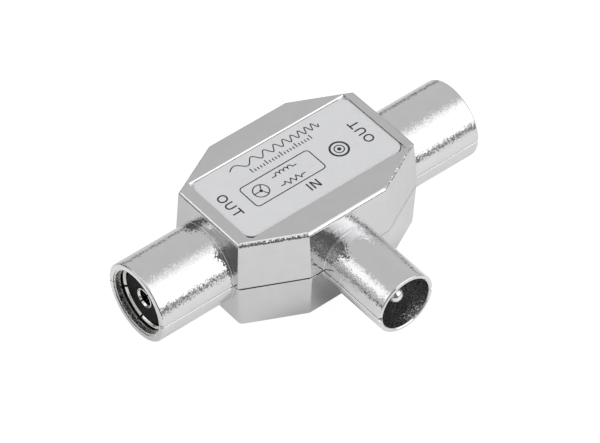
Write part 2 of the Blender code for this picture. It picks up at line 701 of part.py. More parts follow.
def main():
    clear_scene()
    nickel = material("cast_nickel", (0.62, 0.61, 0.60), 0.24, 1.0)
    spring = material("spring_nickel", (0.60, 0.59, 0.57), 0.28, 1.0)
    pin_nickel = material("turned_nickel", (0.66, 0.65, 0.62), 0.18, 1.0)
    label = material("label_silver", (0.66, 0.68, 0.70), 0.42)
    black = material("black_insulator", (0.016, 0.015, 0.016), 0.5)
    board = material("board_green", (0.02, 0.11, 0.05), 0.5)
    ferrite = material("ferrite", (0.03, 0.03, 0.032), 0.6)
    copper = material("enamelled_copper", (0.55, 0.20, 0.08), 0.3, 1.0)
    ceramic = material("chip_ceramic", (0.30, 0.20, 0.12), 0.5)

    mouth_x = BODY_LENGTH / 2 + SOCKET_LENGTH
    mouth_y = BODY_WIDTH / 2 + PLUG_LENGTH
    quarter = math.pi / 2
    sockets = {
        "left": port_frame("left_port", (-mouth_x, 0.0, SEAM), (0.0, quarter, 0.0)),
        "right": port_frame("right_port", (mouth_x, 0.0, SEAM), (0.0, -quarter, 0.0)),
    }
    plug = port_frame("in_port", (0.0, -mouth_y, SEAM), (-quarter, 0.0, 0.0))

    forms = casting_helpers(sockets, plug)
    half_shell("upper_shell", 1, nickel, forms)
    half_shell("lower_shell", -1, nickel, forms)
    label_plate(label)

    for side, frame in sockets.items():
        socket_insulator(f"{side}_insulator", frame, black)
        contact(f"{side}_contact", frame, pin_nickel)
        spring_sleeve(f"{side}_spring_sleeve", frame, spring)
    plug_insulator("in_insulator", plug, black)
    plug_pin("in_pin", plug, pin_nickel)

    circuit_board(board)
    half = CORE_SPACING / 2
    ring_core("matching_core", -half, ferrite)
    winding("matching_winding", -half, MATCHING_START, MATCHING_ARC, MATCHING_TURNS, copper)
    ring_core("splitting_core", half, ferrite)
    for side, start in (("right", SPLITTING_START), ("left", SPLITTING_START + math.pi)):
        winding(f"{side}_splitting_winding", half, start, SPLITTING_ARC, SPLITTING_TURNS, copper)
    chip("isolation_resistor", RESISTOR_SIZE, half, CHIP_ROW_Y, 0.0, ceramic)
    chip("compensation_capacitor", CAPACITOR_SIZE, -half, CHIP_ROW_Y, 0.0, ceramic)
    chip("input_capacitor", CAPACITOR_SIZE, 0.0, CHIP_ROW_Y / 2, quarter, ceramic)
    bpy.context.view_layer.update()


main()
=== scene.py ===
"""Looks of the coaxial T adapter: fine nickel castings, the printed label, the ports and a plain studio.

Metres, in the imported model's frame: the origin is the centre of the flat underside, X runs through the two
socket ports and the plug port points along -Y. Inside a port, depth is measured from the mouth inwards.
"""

import math

import bmesh
import bpy
from mathutils import Matrix, Vector


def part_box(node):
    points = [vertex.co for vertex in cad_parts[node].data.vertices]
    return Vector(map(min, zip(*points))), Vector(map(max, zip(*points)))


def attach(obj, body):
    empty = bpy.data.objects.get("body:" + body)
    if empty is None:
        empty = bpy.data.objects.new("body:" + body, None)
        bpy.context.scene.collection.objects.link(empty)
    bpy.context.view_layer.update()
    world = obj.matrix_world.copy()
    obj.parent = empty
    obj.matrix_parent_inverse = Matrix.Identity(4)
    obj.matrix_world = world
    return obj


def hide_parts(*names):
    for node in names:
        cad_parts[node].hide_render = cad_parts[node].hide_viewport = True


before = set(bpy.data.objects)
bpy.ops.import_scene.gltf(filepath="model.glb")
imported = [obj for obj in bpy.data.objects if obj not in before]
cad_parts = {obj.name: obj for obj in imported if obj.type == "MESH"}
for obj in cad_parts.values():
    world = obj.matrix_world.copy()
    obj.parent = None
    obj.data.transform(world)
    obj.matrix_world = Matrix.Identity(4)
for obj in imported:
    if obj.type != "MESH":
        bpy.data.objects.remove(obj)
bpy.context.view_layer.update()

# Cast body, with its outline taken at the seam between the half shells
BODY_LENGTH = 0.03214
BODY_WIDTH = 0.02308
END_FACE_WIDTH = 0.01388
SIDE_FACE_LENGTH = 0.01386
UPPER_DRAFT = 0.00052
LOWER_DRAFT = 0.00041
UPPER_EDGE_ROUND = 0.00066
LOWER_EDGE_ROUND = 0.00045
UPPER_CORNER_ROUND = 0.00025
LOWER_CORNER_ROUND = 0.00080
CAVITY_CORNER_ROUND = 0.0008
CAVITY_EDGE_ROUND = 0.0004
WALL = 0.0013
ROOF = 0.0019
FLOOR = 0.0014
SEAM_GAP = 0.00008
SEAM_ROUND = 0.00013
SEAM_REBATE_HEIGHT = 0.00001
SEAM_REBATE_DEPTH = 0.00035
SEAM_OPENING = 0.00006
SEAM_OPENING_REACH = BODY_LENGTH / 3
PLUG_SEAM_OPENING = 0.00004
PORT_FILLET = 0.00008
PORT_ROOT = 0.0008

# Posts inside the shells
POST_RADIUS = 0.0016
POST_SINK = 0.0002
POST_ROOT = 0.00065
LEDGE_RADIUS = 0.00214
LOCATING_PIN_RADIUS = 0.0007
LOCATING_PIN_HEIGHT = 0.0014
LOCATING_PIN_CLEARANCE = 0.00008

# Label
RECESS_LENGTH = 0.02762
RECESS_WIDTH = 0.01332
RECESS_DEPTH = 0.00035
RECESS_SHIFT = (0.0002, 0.0001)
RECESS_ROUND = 0.0002
RECESS_SLOPE = 0.00015
RECESS_SLOPE_DEPTH = 0.00016
LABEL_CORNER = 0.0016
LABEL_MARGIN = 0.00005
LABEL_THICKNESS = 0.00010
LABEL_EDGE_ROUND = 0.00003
# Painted shade: a dark sheet under the label, showing in the recess's front corners
SHADE_SHEET_THICKNESS = 0.00004
SHADE_SHEET_CORNER = 0.8 * LABEL_CORNER

# Socket ports
SOCKET_DIAMETER = 0.01208
SOCKET_LENGTH = 0.0122
SOCKET_BORE = 0.0102
SOCKET_BORE_DEPTH = 0.0095
SOCKET_LEAD_IN = 0.00003
SOCKET_MOUTH_DIAMETER = 0.01026
SOCKET_MOUTH_DEPTH = 0.0002
SOCKET_THROAT_DIAMETER = 0.00986
SOCKET_THROAT_END = 0.00094
SOCKET_RIM_ROUND = 0.00026
SOCKET_GROOVE_DIAMETER = 0.0108
SOCKET_GROOVE_LENGTH = 0.0016
SOCKET_HUB_BORE = 0.0066
SOCKET_FACE_DEPTH = 0.0015
SOCKET_NOSE_DIAMETER = 0.0080
HUB_REACH = 0.0003
CONTACT_DIAMETER = 0.0031
CONTACT_BORE = 0.0024
CONTACT_BORE_DEPTH = 0.0080
CONTACT_DRILL_POINT = 0.0006
CONTACT_PROUD = 0.0001
CONTACT_EDGE_ROUND = 0.00010
CONTACT_CHAMFER = 0.00026
CONTACT_MOUTH = [(2.2, 0.0), (1.0, 0.1), (0.0, 0.9)]
CONTACT_SLOT_WIDTH = 0.00024
CONTACT_SLOT_DEPTH = 0.0058
CONTACT_SLOT_ANGLE = math.radians(-57)
COLLAR_RADIUS = 0.0019
COLLAR_LENGTH = 0.0008
SLEEVE_SEAT = 0.00505
SLEEVE_WALL = 0.00025
SLEEVE_FRONT_DEPTH = 0.00098
SLEEVE_RING_LENGTH = 0.0020
SLEEVE_BOW = 0.00030
SLEEVE_LIP_LENGTH = 0.00058
SLEEVE_FLARE_LENGTH = 0.0003
SLEEVE_RISE_LENGTH = 0.0022
SLEEVE_FINGERS = 6
SLEEVE_SLOT_WIDTH = 0.00036
SLEEVE_TURN = math.radians(13)
SLEEVE_EDGE_ROUND = 0.00003

# Plug port
PLUG_DIAMETER = 0.0095
PLUG_LENGTH = 0.0119
PLUG_BORE = 0.00822
PLUG_RIM_ROUND = 0.0002
PLUG_LEAD_IN = 0.00012
PLUG_FACE_DEPTH = 0.0090
PLUG_GROOVE_START = 0.0126
PLUG_GROOVE_DIAMETER = 0.0094
PLUG_GROOVE_LENGTH = 0.0013
PLUG_HUB_BORE = 0.0050
SADDLE_DIAMETER = 0.0110
SADDLE_REACH = 0.0020
PIN_DIAMETER = 0.00234
PIN_TIP_DEPTH = 0.00125
PIN_COLLAR_RADIUS = 0.0016

# Dents at the seam
NICK_RADIUS = 0.00042
NICK_OFFSET = 0.35 * NICK_RADIUS

# Terminals on the board, and the fits between pieces
TAIL_RADIUS = 0.00065
TAIL_LENGTH = 0.0026
TAIL_CHAMFER = 0.00012
CLEARANCE = 0.00005

# Where a port holds its insulator: the groove's start, end and radius, the hub's radius and the wall's end
SOCKET_SEAT = (
    SOCKET_BORE_DEPTH,
    SOCKET_BORE_DEPTH + SOCKET_GROOVE_LENGTH,
    SOCKET_GROOVE_DIAMETER / 2,
    SOCKET_HUB_BORE / 2,
    SOCKET_LENGTH + WALL,
)
PLUG_SEAT = (
    PLUG_GROOVE_START,
    PLUG_GROOVE_START + PLUG_GROOVE_LENGTH,
    PLUG_GROOVE_DIAMETER / 2,
    PLUG_HUB_BORE / 2,
    PLUG_LENGTH + WALL + SADDLE_REACH,
)

# Fineness of the meshes
TUBE_STEPS = 72
BORE_SEGMENTS = 144
SMALL_SEGMENTS = 64
EDGE_STEPS = 6
SEAM_STEPS = 3
POST_SEGMENTS = 32
FINGER_COLUMNS = 20
FINGER_ROWS = 60
SLEEVE_RING_ROWS = 4
SLEEVE_JOIN = 2e-6
OVERREACH = 0.0010
MERGE = 1e-7
SHARP_ANGLE = math.radians(30)

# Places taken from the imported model
UPPER_LOW, UPPER_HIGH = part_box("upper_shell")
LOWER_LOW, LOWER_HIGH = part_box("lower_shell")
SEAM = UPPER_LOW.z - SEAM_GAP / 2
UPPER_HEIGHT = UPPER_HIGH.z - SEAM
LOWER_HEIGHT = SEAM - LOWER_LOW.z
LABEL_TOP = UPPER_HIGH.z - RECESS_DEPTH + SHADE_SHEET_THICKNESS + LABEL_THICKNESS + CLEARANCE / 5
UP = Vector((0.0, 0.0, 1.0))
LEFT_PORT = (Vector((UPPER_LOW.x, 0.0, SEAM)), Vector((1.0, 0.0, 0.0)))
RIGHT_PORT = (Vector((UPPER_HIGH.x, 0.0, SEAM)), Vector((-1.0, 0.0, 0.0)))
IN_PORT = (Vector((0.0, UPPER_LOW.y, SEAM)), Vector((0.0, 1.0, 0.0)))


def ring_faces(shape, rings):
    """Skins a row of equal point rings and closes both ends."""
    loops = [[shape.verts.new(point) for point in ring] for ring in rings]
    count = len(loops[0])
    for below, above in zip(loops, loops[1:]):
        for i in range(count):
            j = (i + 1) % count
            shape.faces.new((below[i], below[j], above[j], above[i]))
    shape.faces.new(list(reversed(loops[0])))
    shape.faces.new(loops[-1])


def skinned(rings):
    """A closed shape through a row of equal point rings."""
    shape = bmesh.new()
    ring_faces(shape, rings)
    return shape


def prism(outline, low, high):
    return skinned([[(x, y, z) for x, y in outline] for z in (low, high)])


def port_matrix(port):
    """Carries depth along Z and the way across the port along X to the port's place in the model."""
    place, inward = port
    across = UP.cross(inward)
    return Matrix.Translation(place) @ Matrix((across, UP, inward)).transposed().to_4x4()


def turned(profile, port, segments=BORE_SEGMENTS):
    """A profile of (depth, radius) points turned about a port's axis.

    A profile that starts off the axis is a closed loop.
    """
    shape = bmesh.new()
    points = [shape.verts.new((radius, 0.0, depth)) for depth, radius in profile]
    pairs = list(zip(points, points[1:]))
    if profile[0][1] > 0.0:
        pairs.append((points[-1], points[0]))
    edges = [shape.edges.new(pair) for pair in pairs]
    bmesh.ops.spin(
        shape,
        geom=points + edges,
        cent=(0.0, 0.0, 0.0),
        axis=(0.0, 0.0, 1.0),
        angle=2 * math.pi,
        steps=segments,
        use_merge=True,
    )
    shape.transform(port_matrix(port))
    return shape


def arc(centre, radius, start, end, steps=EDGE_STEPS):
    """(depth, radius) points on an arc, with angles measured from the depth direction."""
    angles = [start + (end - start) * i / steps for i in range(steps + 1)]
    return [(centre[0] + radius * math.cos(a), centre[1] + radius * math.sin(a)) for a in angles]


def clean_mesh(name, shape):
    bmesh.ops.remove_doubles(shape, verts=shape.verts, dist=MERGE)
    bmesh.ops.recalc_face_normals(shape, faces=shape.faces)
    mesh = bpy.data.meshes.new(name)
    shape.to_mesh(mesh)
    shape.free()
    return mesh


def place_object(name, data):
    made = bpy.data.objects.new(name, data)
    bpy.context.scene.collection.objects.link(made)
    return made


def applied(thing):
    """A plain mesh of what the object's modifiers make of it. The object itself is removed."""
    graph = bpy.context.evaluated_depsgraph_get()
    mesh = bpy.data.meshes.new_from_object(thing.evaluated_get(graph))
    bpy.data.objects.remove(thing)
    return mesh


def combined(name, shape, steps):
    """Adds and cuts shapes, in order, and gives the result as a mesh."""
    base = place_object(name, clean_mesh(name, shape))
    helpers = []
    for number, (operation, other) in enumerate(steps):
        other_name = f"{name}_step_{number}"
        helper = place_object(other_name, clean_mesh(other_name, other))
        helpers.append(helper)
        step = base.modifiers.new(other_name, "BOOLEAN")
        step.operation = operation
        step.solver = "MANIFOLD"
        step.object = helper
    bpy.context.view_layer.update()
    mesh = applied(base)
    for helper in helpers:
        bpy.data.objects.remove(helper)
    return mesh


def smooth_piece(name, mesh, finish):
    """A finished piece: shaded smooth between its real edges, with flat faces that stay flat."""
    mesh.name = name
    mesh.materials.clear()
    mesh.materials.append(finish)
    mesh.shade_smooth()
    mesh.set_sharp_from_angle(angle=SHARP_ANGLE)
    made = place_object(name, mesh)
    weigh = made.modifiers.new("flat_faces_stay_flat", "WEIGHTED_NORMAL")
    weigh.keep_sharp = True
    bpy.context.view_layer.update()
    weighed = applied(made)
    weighed.name = name
    return place_object(name, weighed)


def inset_corners(corners, inset):
    """Moves the sides of an anticlockwise convex outline inwards. Gives each corner and its two normals."""
    inner = []
    for i, corner in enumerate(corners):
        arriving = (corner - corners[i - 1]).normalized()
        leaving = (corners[(i + 1) % len(corners)] - corner).normalized()
        first = Vector((-arriving.y, arriving.x))
        second = Vector((-leaving.y, leaving.x))
        mitre = (first + second) / (1.0 + first.dot(second))
        inner.append((corner + mitre * inset, first, second))
    return inner


def rounded(corners, inset, radius, steps=EDGE_STEPS):
    """The outline of a convex shape with its sides moved inwards and its corners rounded."""
    outline = []
    for corner, first, second in inset_corners(corners, inset):
        centre = corner + (first + second) / (1.0 + first.dot(second)) * radius
        turn = first.angle_signed(second)
        for i in range(steps + 1):
            normal = first.copy()
            normal.rotate(Matrix.Rotation(-turn * i / steps, 2))
            outline.append(tuple(centre - normal * radius))
    return outline


def body_corners():
    x, y = BODY_LENGTH / 2, BODY_WIDTH / 2
    end, side = END_FACE_WIDTH / 2, SIDE_FACE_LENGTH / 2
    quarter = [(x, end), (side, y)]
    points = [
        *quarter,
        *[(-px, py) for px, py in reversed(quarter)],
        *[(-px, -py) for px, py in quarter],
        *[(px, -py) for px, py in reversed(quarter)],
    ]
    return [Vector(point) for point in points]


def rectangle_corners(length, width, shift=(0.0, 0.0)):
    x, y = length / 2, width / 2
    return [Vector((px + shift[0], py + shift[1])) for px, py in ((x, -y), (x, y), (-x, y), (-x, -y))]


def body_form(direction, height, draft):
    """The outside of one half of the body, with a rebate at the seam and its outer edge rounded."""
    edge_round, corner_round = UPPER_EDGE_ROUND, UPPER_CORNER_ROUND
    if direction < 0:
        edge_round, corner_round = LOWER_EDGE_ROUND, LOWER_CORNER_ROUND
    face, seam_round = SEAM_GAP / 2, SEAM_ROUND / 2
    brow = face + SEAM_REBATE_HEIGHT
    straight = height - edge_round
    rebate = [
        (brow, SEAM_REBATE_DEPTH),
        *arc((brow + seam_round, seam_round), seam_round, math.pi, 1.5 * math.pi, SEAM_STEPS),
    ]
    outer_edge = arc((straight, edge_round), edge_round, -math.pi / 2, 0.0)
    rings = []
    for number, (level, shrink) in enumerate([(face, SEAM_REBATE_DEPTH), *rebate, *outer_edge]):
        inset = draft * min(level, straight) / height + shrink
        opening = SEAM_OPENING if 0 < number <= len(rebate) else 0.0
        ring = []
        for x, y in rounded(body_corners(), inset, corner_round):
            share = min(1.0, max(0.0, (SEAM_OPENING_REACH - x) / (2 * SEAM_OPENING_REACH)))
            ring.append((x, y, SEAM + direction * (level + opening * share)))
        rings.append(ring)
    return skinned(rings)


def hollow_form(direction, depth, draft):
    """The space inside one half."""
    straight = depth - CAVITY_EDGE_ROUND
    levels = [(-OVERREACH, 0.0), (0.0, 0.0), (straight, draft), (depth, draft + CAVITY_EDGE_ROUND)]
    rings = []
    for level, shrink in levels:
        outline = rounded(body_corners(), WALL + shrink, CAVITY_CORNER_ROUND)
        rings.append([(x, y, SEAM + direction * level) for x, y in outline])
    return skinned(rings)


def half_section(radius, opening=0.0):
    """Half a disc above the seam, as (across, height) points, with its two seam corners rounded or opened."""
    face = SEAM_GAP / 2
    brow = face + opening
    first = math.asin((brow + SEAM_ROUND) / radius)
    points = arc((0.0, 0.0), radius, first, math.pi - first, TUBE_STEPS)
    side = points[0][0] - SEAM_ROUND
    corner = arc((side, brow + SEAM_ROUND), SEAM_ROUND, 0.0, -math.pi / 2, SEAM_STEPS)[1:]
    if opening:
        corner += [(side - SEAM_REBATE_DEPTH, brow), (side - SEAM_REBATE_DEPTH, face)]
    left = [(-x, z) for x, z in corner]
    return [*points, *left, *reversed(corner)]


def port_ring(port, direction, depth, section):
    """A half section as a ring of points at a depth in a port, above or below the seam."""
    place, inward = port
    across = UP.cross(inward)
    return [place + inward * depth + across * x + UP * direction * z for x, z in section]


def tube_form(port, direction, diameter, length, rim_round, opening=0.0):
    """The outside of half a port tube: rounded rim, rounded seam edges and a fillet into the body."""
    radius, fillet = diameter / 2, PORT_FILLET
    stations = [
        *arc((rim_round, radius - rim_round), rim_round, math.pi, math.pi / 2),
        *arc((length - fillet, radius + fillet), fillet, -math.pi / 2, 0.0),
        (length + PORT_ROOT, radius + fillet),
    ]
    return skinned([
        port_ring(port, direction, depth, half_section(reach, opening)) for depth, reach in stations
    ])


def post_places():
    """Centres of the four posts, a set distance in from the middle of each slanted wall."""
    first, second = body_corners()[:2]
    along = (second - first).normalized()
    centre = (first + second) / 2 + Vector((-along.y, along.x)) * (WALL + POST_RADIUS - POST_SINK)
    return [(sx * centre.x, sy * centre.y) for sx in (1, -1) for sy in (1, -1)]


def uprights(radius, low, high):
    """A round upright at each post's place."""
    shape = bmesh.new()
    angles = [2 * math.pi * i / POST_SEGMENTS for i in range(POST_SEGMENTS)]
    for x, y in post_places():
        circle = [(x + radius * math.cos(a), y + radius * math.sin(a)) for a in angles]
        ring_faces(shape, [[(px, py, z) for px, py in circle] for z in sorted((low, high))])
    return shape


def port_bore(port, mouth, lead_in, steps, seat):
    """The space inside a port: its steps, the groove for the insulator's flange and the hole for its hub."""
    groove_start, groove_end, groove, hub, wall_end = seat
    end = wall_end + OVERREACH
    return turned([
        (-OVERREACH, 0.0),
        (-OVERREACH, mouth + lead_in),
        (0.0, mouth + lead_in),
        (lead_in, mouth),
        *steps,
        (groove_start, groove),
        (groove_end, groove),
        (groove_end, hub),
        (end, hub),
        (end, 0.0),
    ], port)


def socket_bore(port):
    bore, mouth, throat = SOCKET_BORE / 2, SOCKET_MOUTH_DIAMETER / 2, SOCKET_THROAT_DIAMETER / 2
    steps = [
        (SOCKET_MOUTH_DEPTH, mouth),
        (SOCKET_MOUTH_DEPTH + (mouth - throat) / 4, throat),
        (SOCKET_THROAT_END, throat),
        (SOCKET_THROAT_END, bore),
        (SOCKET_BORE_DEPTH, bore),
    ]
    return port_bore(port, mouth, SOCKET_LEAD_IN, steps, SOCKET_SEAT)


def plug_bore(port):
    bore = PLUG_BORE / 2
    return port_bore(port, bore, PLUG_LEAD_IN, [(PLUG_GROOVE_START, bore)], PLUG_SEAT)


def half_saddle(direction):
    """Half of the cast ring inside the front wall that holds the plug port's insulator."""
    section = half_section(SADDLE_DIAMETER / 2)
    depths = (PLUG_LENGTH + PORT_ROOT / 2, PLUG_LENGTH + WALL + SADDLE_REACH)
    return skinned([port_ring(IN_PORT, direction, depth, section) for depth in depths])


def rim_nicks(port, diameter):
    """Small round dents where the seam meets a port's rim, left by the casting's gates."""
    shape = bmesh.new()
    place, inward = port
    across = UP.cross(inward)
    for side in (-1, 1):
        centre = place + across * side * (diameter / 2 - NICK_OFFSET) - inward * NICK_OFFSET
        where = Matrix.Translation(centre)
        bmesh.ops.create_icosphere(shape, subdivisions=3, radius=NICK_RADIUS, matrix=where)
    return shape


def recess_form():
    """The space of the label recess. Its long walls slope outwards."""
    rings = []
    for level, slope in ((-RECESS_DEPTH, 0), (-RECESS_SLOPE_DEPTH, 0), (0, 1), (OVERREACH, 1)):
        width = RECESS_WIDTH + 2 * slope * RECESS_SLOPE
        corners = rectangle_corners(RECESS_LENGTH, width, RECESS_SHIFT)
        rings.append([(x, y, UPPER_HIGH.z + level) for x, y in rounded(corners, 0.0, RECESS_ROUND)])
    return skinned(rings)


def casting(name, direction, finish):
    """One cast half with its half tubes, hollowed and bored."""
    upper = direction > 0
    height, draft = (UPPER_HEIGHT, UPPER_DRAFT) if upper else (LOWER_HEIGHT, LOWER_DRAFT)
    depth = height - (ROOF if upper else FLOOR)
    face = SEAM + direction * SEAM_GAP / 2
    steps = [
        ("UNION", tube_form(port, direction, SOCKET_DIAMETER, SOCKET_LENGTH, SOCKET_RIM_ROUND))
        for port in (LEFT_PORT, RIGHT_PORT)
    ]
    plug = tube_form(IN_PORT, direction, PLUG_DIAMETER, PLUG_LENGTH, PLUG_RIM_ROUND, PLUG_SEAM_OPENING)
    steps += [
        ("UNION", plug),
        ("DIFFERENCE", hollow_form(direction, depth, draft)),
        ("UNION", half_saddle(direction)),
        ("UNION", uprights(POST_RADIUS, face, SEAM + direction * (depth + POST_ROOT))),
    ]
    if upper:
        hole_end = SEAM + LOCATING_PIN_HEIGHT + LOCATING_PIN_CLEARANCE
        hole_radius = LOCATING_PIN_RADIUS + LOCATING_PIN_CLEARANCE
        steps.append(("DIFFERENCE", uprights(hole_radius, SEAM - OVERREACH, hole_end)))
        steps.append(("DIFFERENCE", recess_form()))
    else:
        ledge_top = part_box("circuit_board")[0].z - CLEARANCE
        steps.append(("UNION", uprights(LEDGE_RADIUS, FLOOR - POST_ROOT, ledge_top)))
        pin_low, pin_high = SEAM - 2 * LOCATING_PIN_HEIGHT, SEAM + LOCATING_PIN_HEIGHT
        steps.append(("UNION", uprights(LOCATING_PIN_RADIUS, pin_low, pin_high)))
    steps += [("DIFFERENCE", socket_bore(port)) for port in (LEFT_PORT, RIGHT_PORT)]
    steps.append(("DIFFERENCE", plug_bore(IN_PORT)))
    steps += [("DIFFERENCE", rim_nicks(port, SOCKET_DIAMETER)) for port in (LEFT_PORT, RIGHT_PORT)]
    steps.append(("DIFFERENCE", rim_nicks(IN_PORT, PLUG_DIAMETER)))
    mesh = combined(name, body_form(direction, height, draft), steps)
    return smooth_piece(name, mesh, finish)


def stem_end(stem, collar, seat):
    """The inner end of a turned stem: its collar, held in the insulator, and its tail down to the board."""
    hub_depth = seat[-1] + HUB_REACH
    collar_end, end = hub_depth - CLEARANCE, hub_depth + TAIL_LENGTH
    return [
        (collar_end - COLLAR_LENGTH, stem),
        (collar_end - COLLAR_LENGTH, collar),
        (collar_end, collar),
        (collar_end, TAIL_RADIUS),
        (end - TAIL_CHAMFER, TAIL_RADIUS),
        (end, TAIL_RADIUS - TAIL_CHAMFER),
        (end, 0.0),
    ]


def contact(name, port, finish):
    """A turned, bored centre socket with one slot across its mouth."""
    outer, bore, edge = CONTACT_DIAMETER / 2, CONTACT_BORE / 2, CONTACT_EDGE_ROUND
    front = SOCKET_FACE_DEPTH - CONTACT_PROUD
    bottom = front + CONTACT_BORE_DEPTH
    profile = [
        (bottom + CONTACT_DRILL_POINT, 0.0),
        (bottom, bore),
        *[(front + deep * CONTACT_CHAMFER, bore + wide * CONTACT_CHAMFER) for deep, wide in CONTACT_MOUTH],
        *arc((front + edge, outer - edge), edge, math.pi, math.pi / 2),
        *stem_end(outer, COLLAR_RADIUS, SOCKET_SEAT),
    ]
    outline = [tuple(c) for c in rectangle_corners(2 * CONTACT_DIAMETER, CONTACT_SLOT_WIDTH)]
    slot = prism(outline, front - OVERREACH, front + CONTACT_SLOT_DEPTH)
    slot.transform(port_matrix(port) @ Matrix.Rotation(CONTACT_SLOT_ANGLE, 4, "Z"))
    mesh = combined(name, turned(profile, port, SMALL_SEGMENTS), [("DIFFERENCE", slot)])
    return smooth_piece(name, mesh, finish)


def insulator(name, port, finish, face, seat, collar):
    """A moulded insulator with its flange in the groove. Its face starts at the hole for the stem."""
    groove_start, groove_end, groove, hub, wall_end = seat
    hub_depth = wall_end + HUB_REACH
    step = hub_depth - COLLAR_LENGTH - 2 * CLEARANCE
    profile = [
        *face,
        (groove_start + CLEARANCE, face[-1][1]),
        (groove_start + CLEARANCE, groove - CLEARANCE),
        (groove_end - CLEARANCE, groove - CLEARANCE),
        (groove_end - CLEARANCE, hub - CLEARANCE),
        (hub_depth, hub - CLEARANCE),
        (hub_depth, collar + CLEARANCE),
        (step, collar + CLEARANCE),
        (step, face[0][1]),
    ]
    return smooth_piece(name, clean_mesh(name, turned(profile, port)), finish)


def socket_insulator(name, port, finish):
    nose, edge = SOCKET_NOSE_DIAMETER / 2, CONTACT_EDGE_ROUND
    face = [
        (SOCKET_FACE_DEPTH, CONTACT_DIAMETER / 2 + CLEARANCE),
        *arc((SOCKET_FACE_DEPTH + edge, nose - edge), edge, math.pi, math.pi / 2),
    ]
    return insulator(name, port, finish, face, SOCKET_SEAT, COLLAR_RADIUS)


def plug_insulator(name, port, finish):
    hole, front = PIN_DIAMETER / 2 + CLEARANCE, PLUG_BORE / 2 - CLEARANCE
    face = [(PLUG_FACE_DEPTH, hole), (PLUG_FACE_DEPTH, front)]
    return insulator(name, port, finish, face, PLUG_SEAT, PIN_COLLAR_RADIUS)


def plug_pin(name, port, finish):
    radius = PIN_DIAMETER / 2
    nose = arc((PIN_TIP_DEPTH + radius, 0.0), radius, math.pi, math.pi / 2, 2 * EDGE_STEPS)
    nose[0] = (PIN_TIP_DEPTH, 0.0)
    profile = [*nose, *stem_end(radius, PIN_COLLAR_RADIUS, PLUG_SEAT)]
    return smooth_piece(name, clean_mesh(name, turned(profile, port, SMALL_SEGMENTS)), finish)


def label_plate(name, finish):
    """The label: a thin plate with rounded corners and softened top edges."""
    corners = rectangle_corners(RECESS_LENGTH, RECESS_WIDTH, RECESS_SHIFT)
    edge = LABEL_EDGE_ROUND
    top_edge = arc((LABEL_TOP - edge, edge), edge, -math.pi / 2, 0.0, SEAM_STEPS)
    rings = []
    for level, shrink in [(LABEL_TOP - LABEL_THICKNESS, 0.0), *top_edge]:
        outline = rounded(corners, LABEL_MARGIN + shrink, LABEL_CORNER - shrink, 2 * EDGE_STEPS)
        rings.append([(x, y, level) for x, y in outline])
    return smooth_piece(name, clean_mesh(name, skinned(rings)), finish)


def painted_shade_sheet(name, finish):
    """Painted shade: a dark sheet under the label. It fills the two front corners of the recess."""
    corners = rectangle_corners(RECESS_LENGTH, RECESS_WIDTH, RECESS_SHIFT)
    full = rounded(corners, LABEL_MARGIN, SHADE_SHEET_CORNER)
    short = rounded(corners, 2 * LABEL_MARGIN, LABEL_CORNER)
    corner_points = EDGE_STEPS + 1
    outline = []
    for i, (x, y) in enumerate(full):
        outline.append((x, y) if corners[i // corner_points].y < RECESS_SHIFT[1] else short[i])
    low = UPPER_HIGH.z - RECESS_DEPTH + SHADE_SHEET_THICKNESS / 4
    mesh = clean_mesh(name, prism(outline, low, low + SHADE_SHEET_THICKNESS))
    mesh.materials.append(finish)
    return place_object(name, mesh)


def add_node(tree, kind, inputs=None, **settings):
    """A node with its settings. Each input gets a value, or follows another node's output."""
    made = tree.nodes.new(kind)
    for key, value in settings.items():
        setattr(made, key, value)
    for key, value in (inputs or {}).items():
        if isinstance(value, bpy.types.NodeSocket):
            tree.links.new(value, made.inputs[key])
        else:
            made.inputs[key].default_value = value
    return made


def maths(tree, operation, first, *others):
    """Combines numbers or other nodes' outputs, in order, with math nodes."""
    for other in others or (0.0,):
        first = add_node(tree, "ShaderNodeMath", {0: first, 1: other}, operation=operation).outputs[0]
    return first


def vector_maths(tree, operation, first, second=(0.0, 0.0, 0.0)):
    """A vector math node. It gives a number for a length, a distance or a dot product."""
    made = add_node(tree, "ShaderNodeVectorMath", {0: first, 1: second}, operation=operation)
    return made.outputs["Value" if operation in ("LENGTH", "DISTANCE", "DOT_PRODUCT") else "Vector"]


def scaled(tree, vector, scale):
    made = add_node(tree, "ShaderNodeVectorMath", {0: vector, "Scale": scale}, operation="SCALE")
    return made.outputs["Vector"]


def separated(tree, vector):
    return add_node(tree, "ShaderNodeSeparateXYZ", {0: vector}).outputs


def copies_tree(name, inputs):
    """A new node tree that takes a geometry and named inputs. Gives the tree and its input sockets."""
    tree = bpy.data.node_groups.new(name, "GeometryNodeTree")
    for label, kind in {"Geometry": "Geometry", **inputs, "Finish": "Material"}.items():
        tree.interface.new_socket(label, in_out="INPUT", socket_type=f"NodeSocket{kind}")
    tree.interface.new_socket("Geometry", in_out="OUTPUT", socket_type="NodeSocketGeometry")
    return tree, tree.nodes.new("NodeGroupInput").outputs


def real_copies(tree, given, points, **placing):
    """Real copies of the geometry at the points, turned or scaled as placing says."""
    inputs = {"Points": points.outputs[0], "Instance": given["Geometry"], **placing}
    copies = add_node(tree, "GeometryNodeInstanceOnPoints", inputs)
    return add_node(tree, "GeometryNodeRealizeInstances", {0: copies.outputs[0]}).outputs[0]


def finish_tree(tree, given, geometry):
    finish = add_node(tree, "GeometryNodeSetMaterial", {"Geometry": geometry, "Material": given["Finish"]})
    add_node(tree, "NodeGroupOutput", {0: finish.outputs[0]})
    return tree


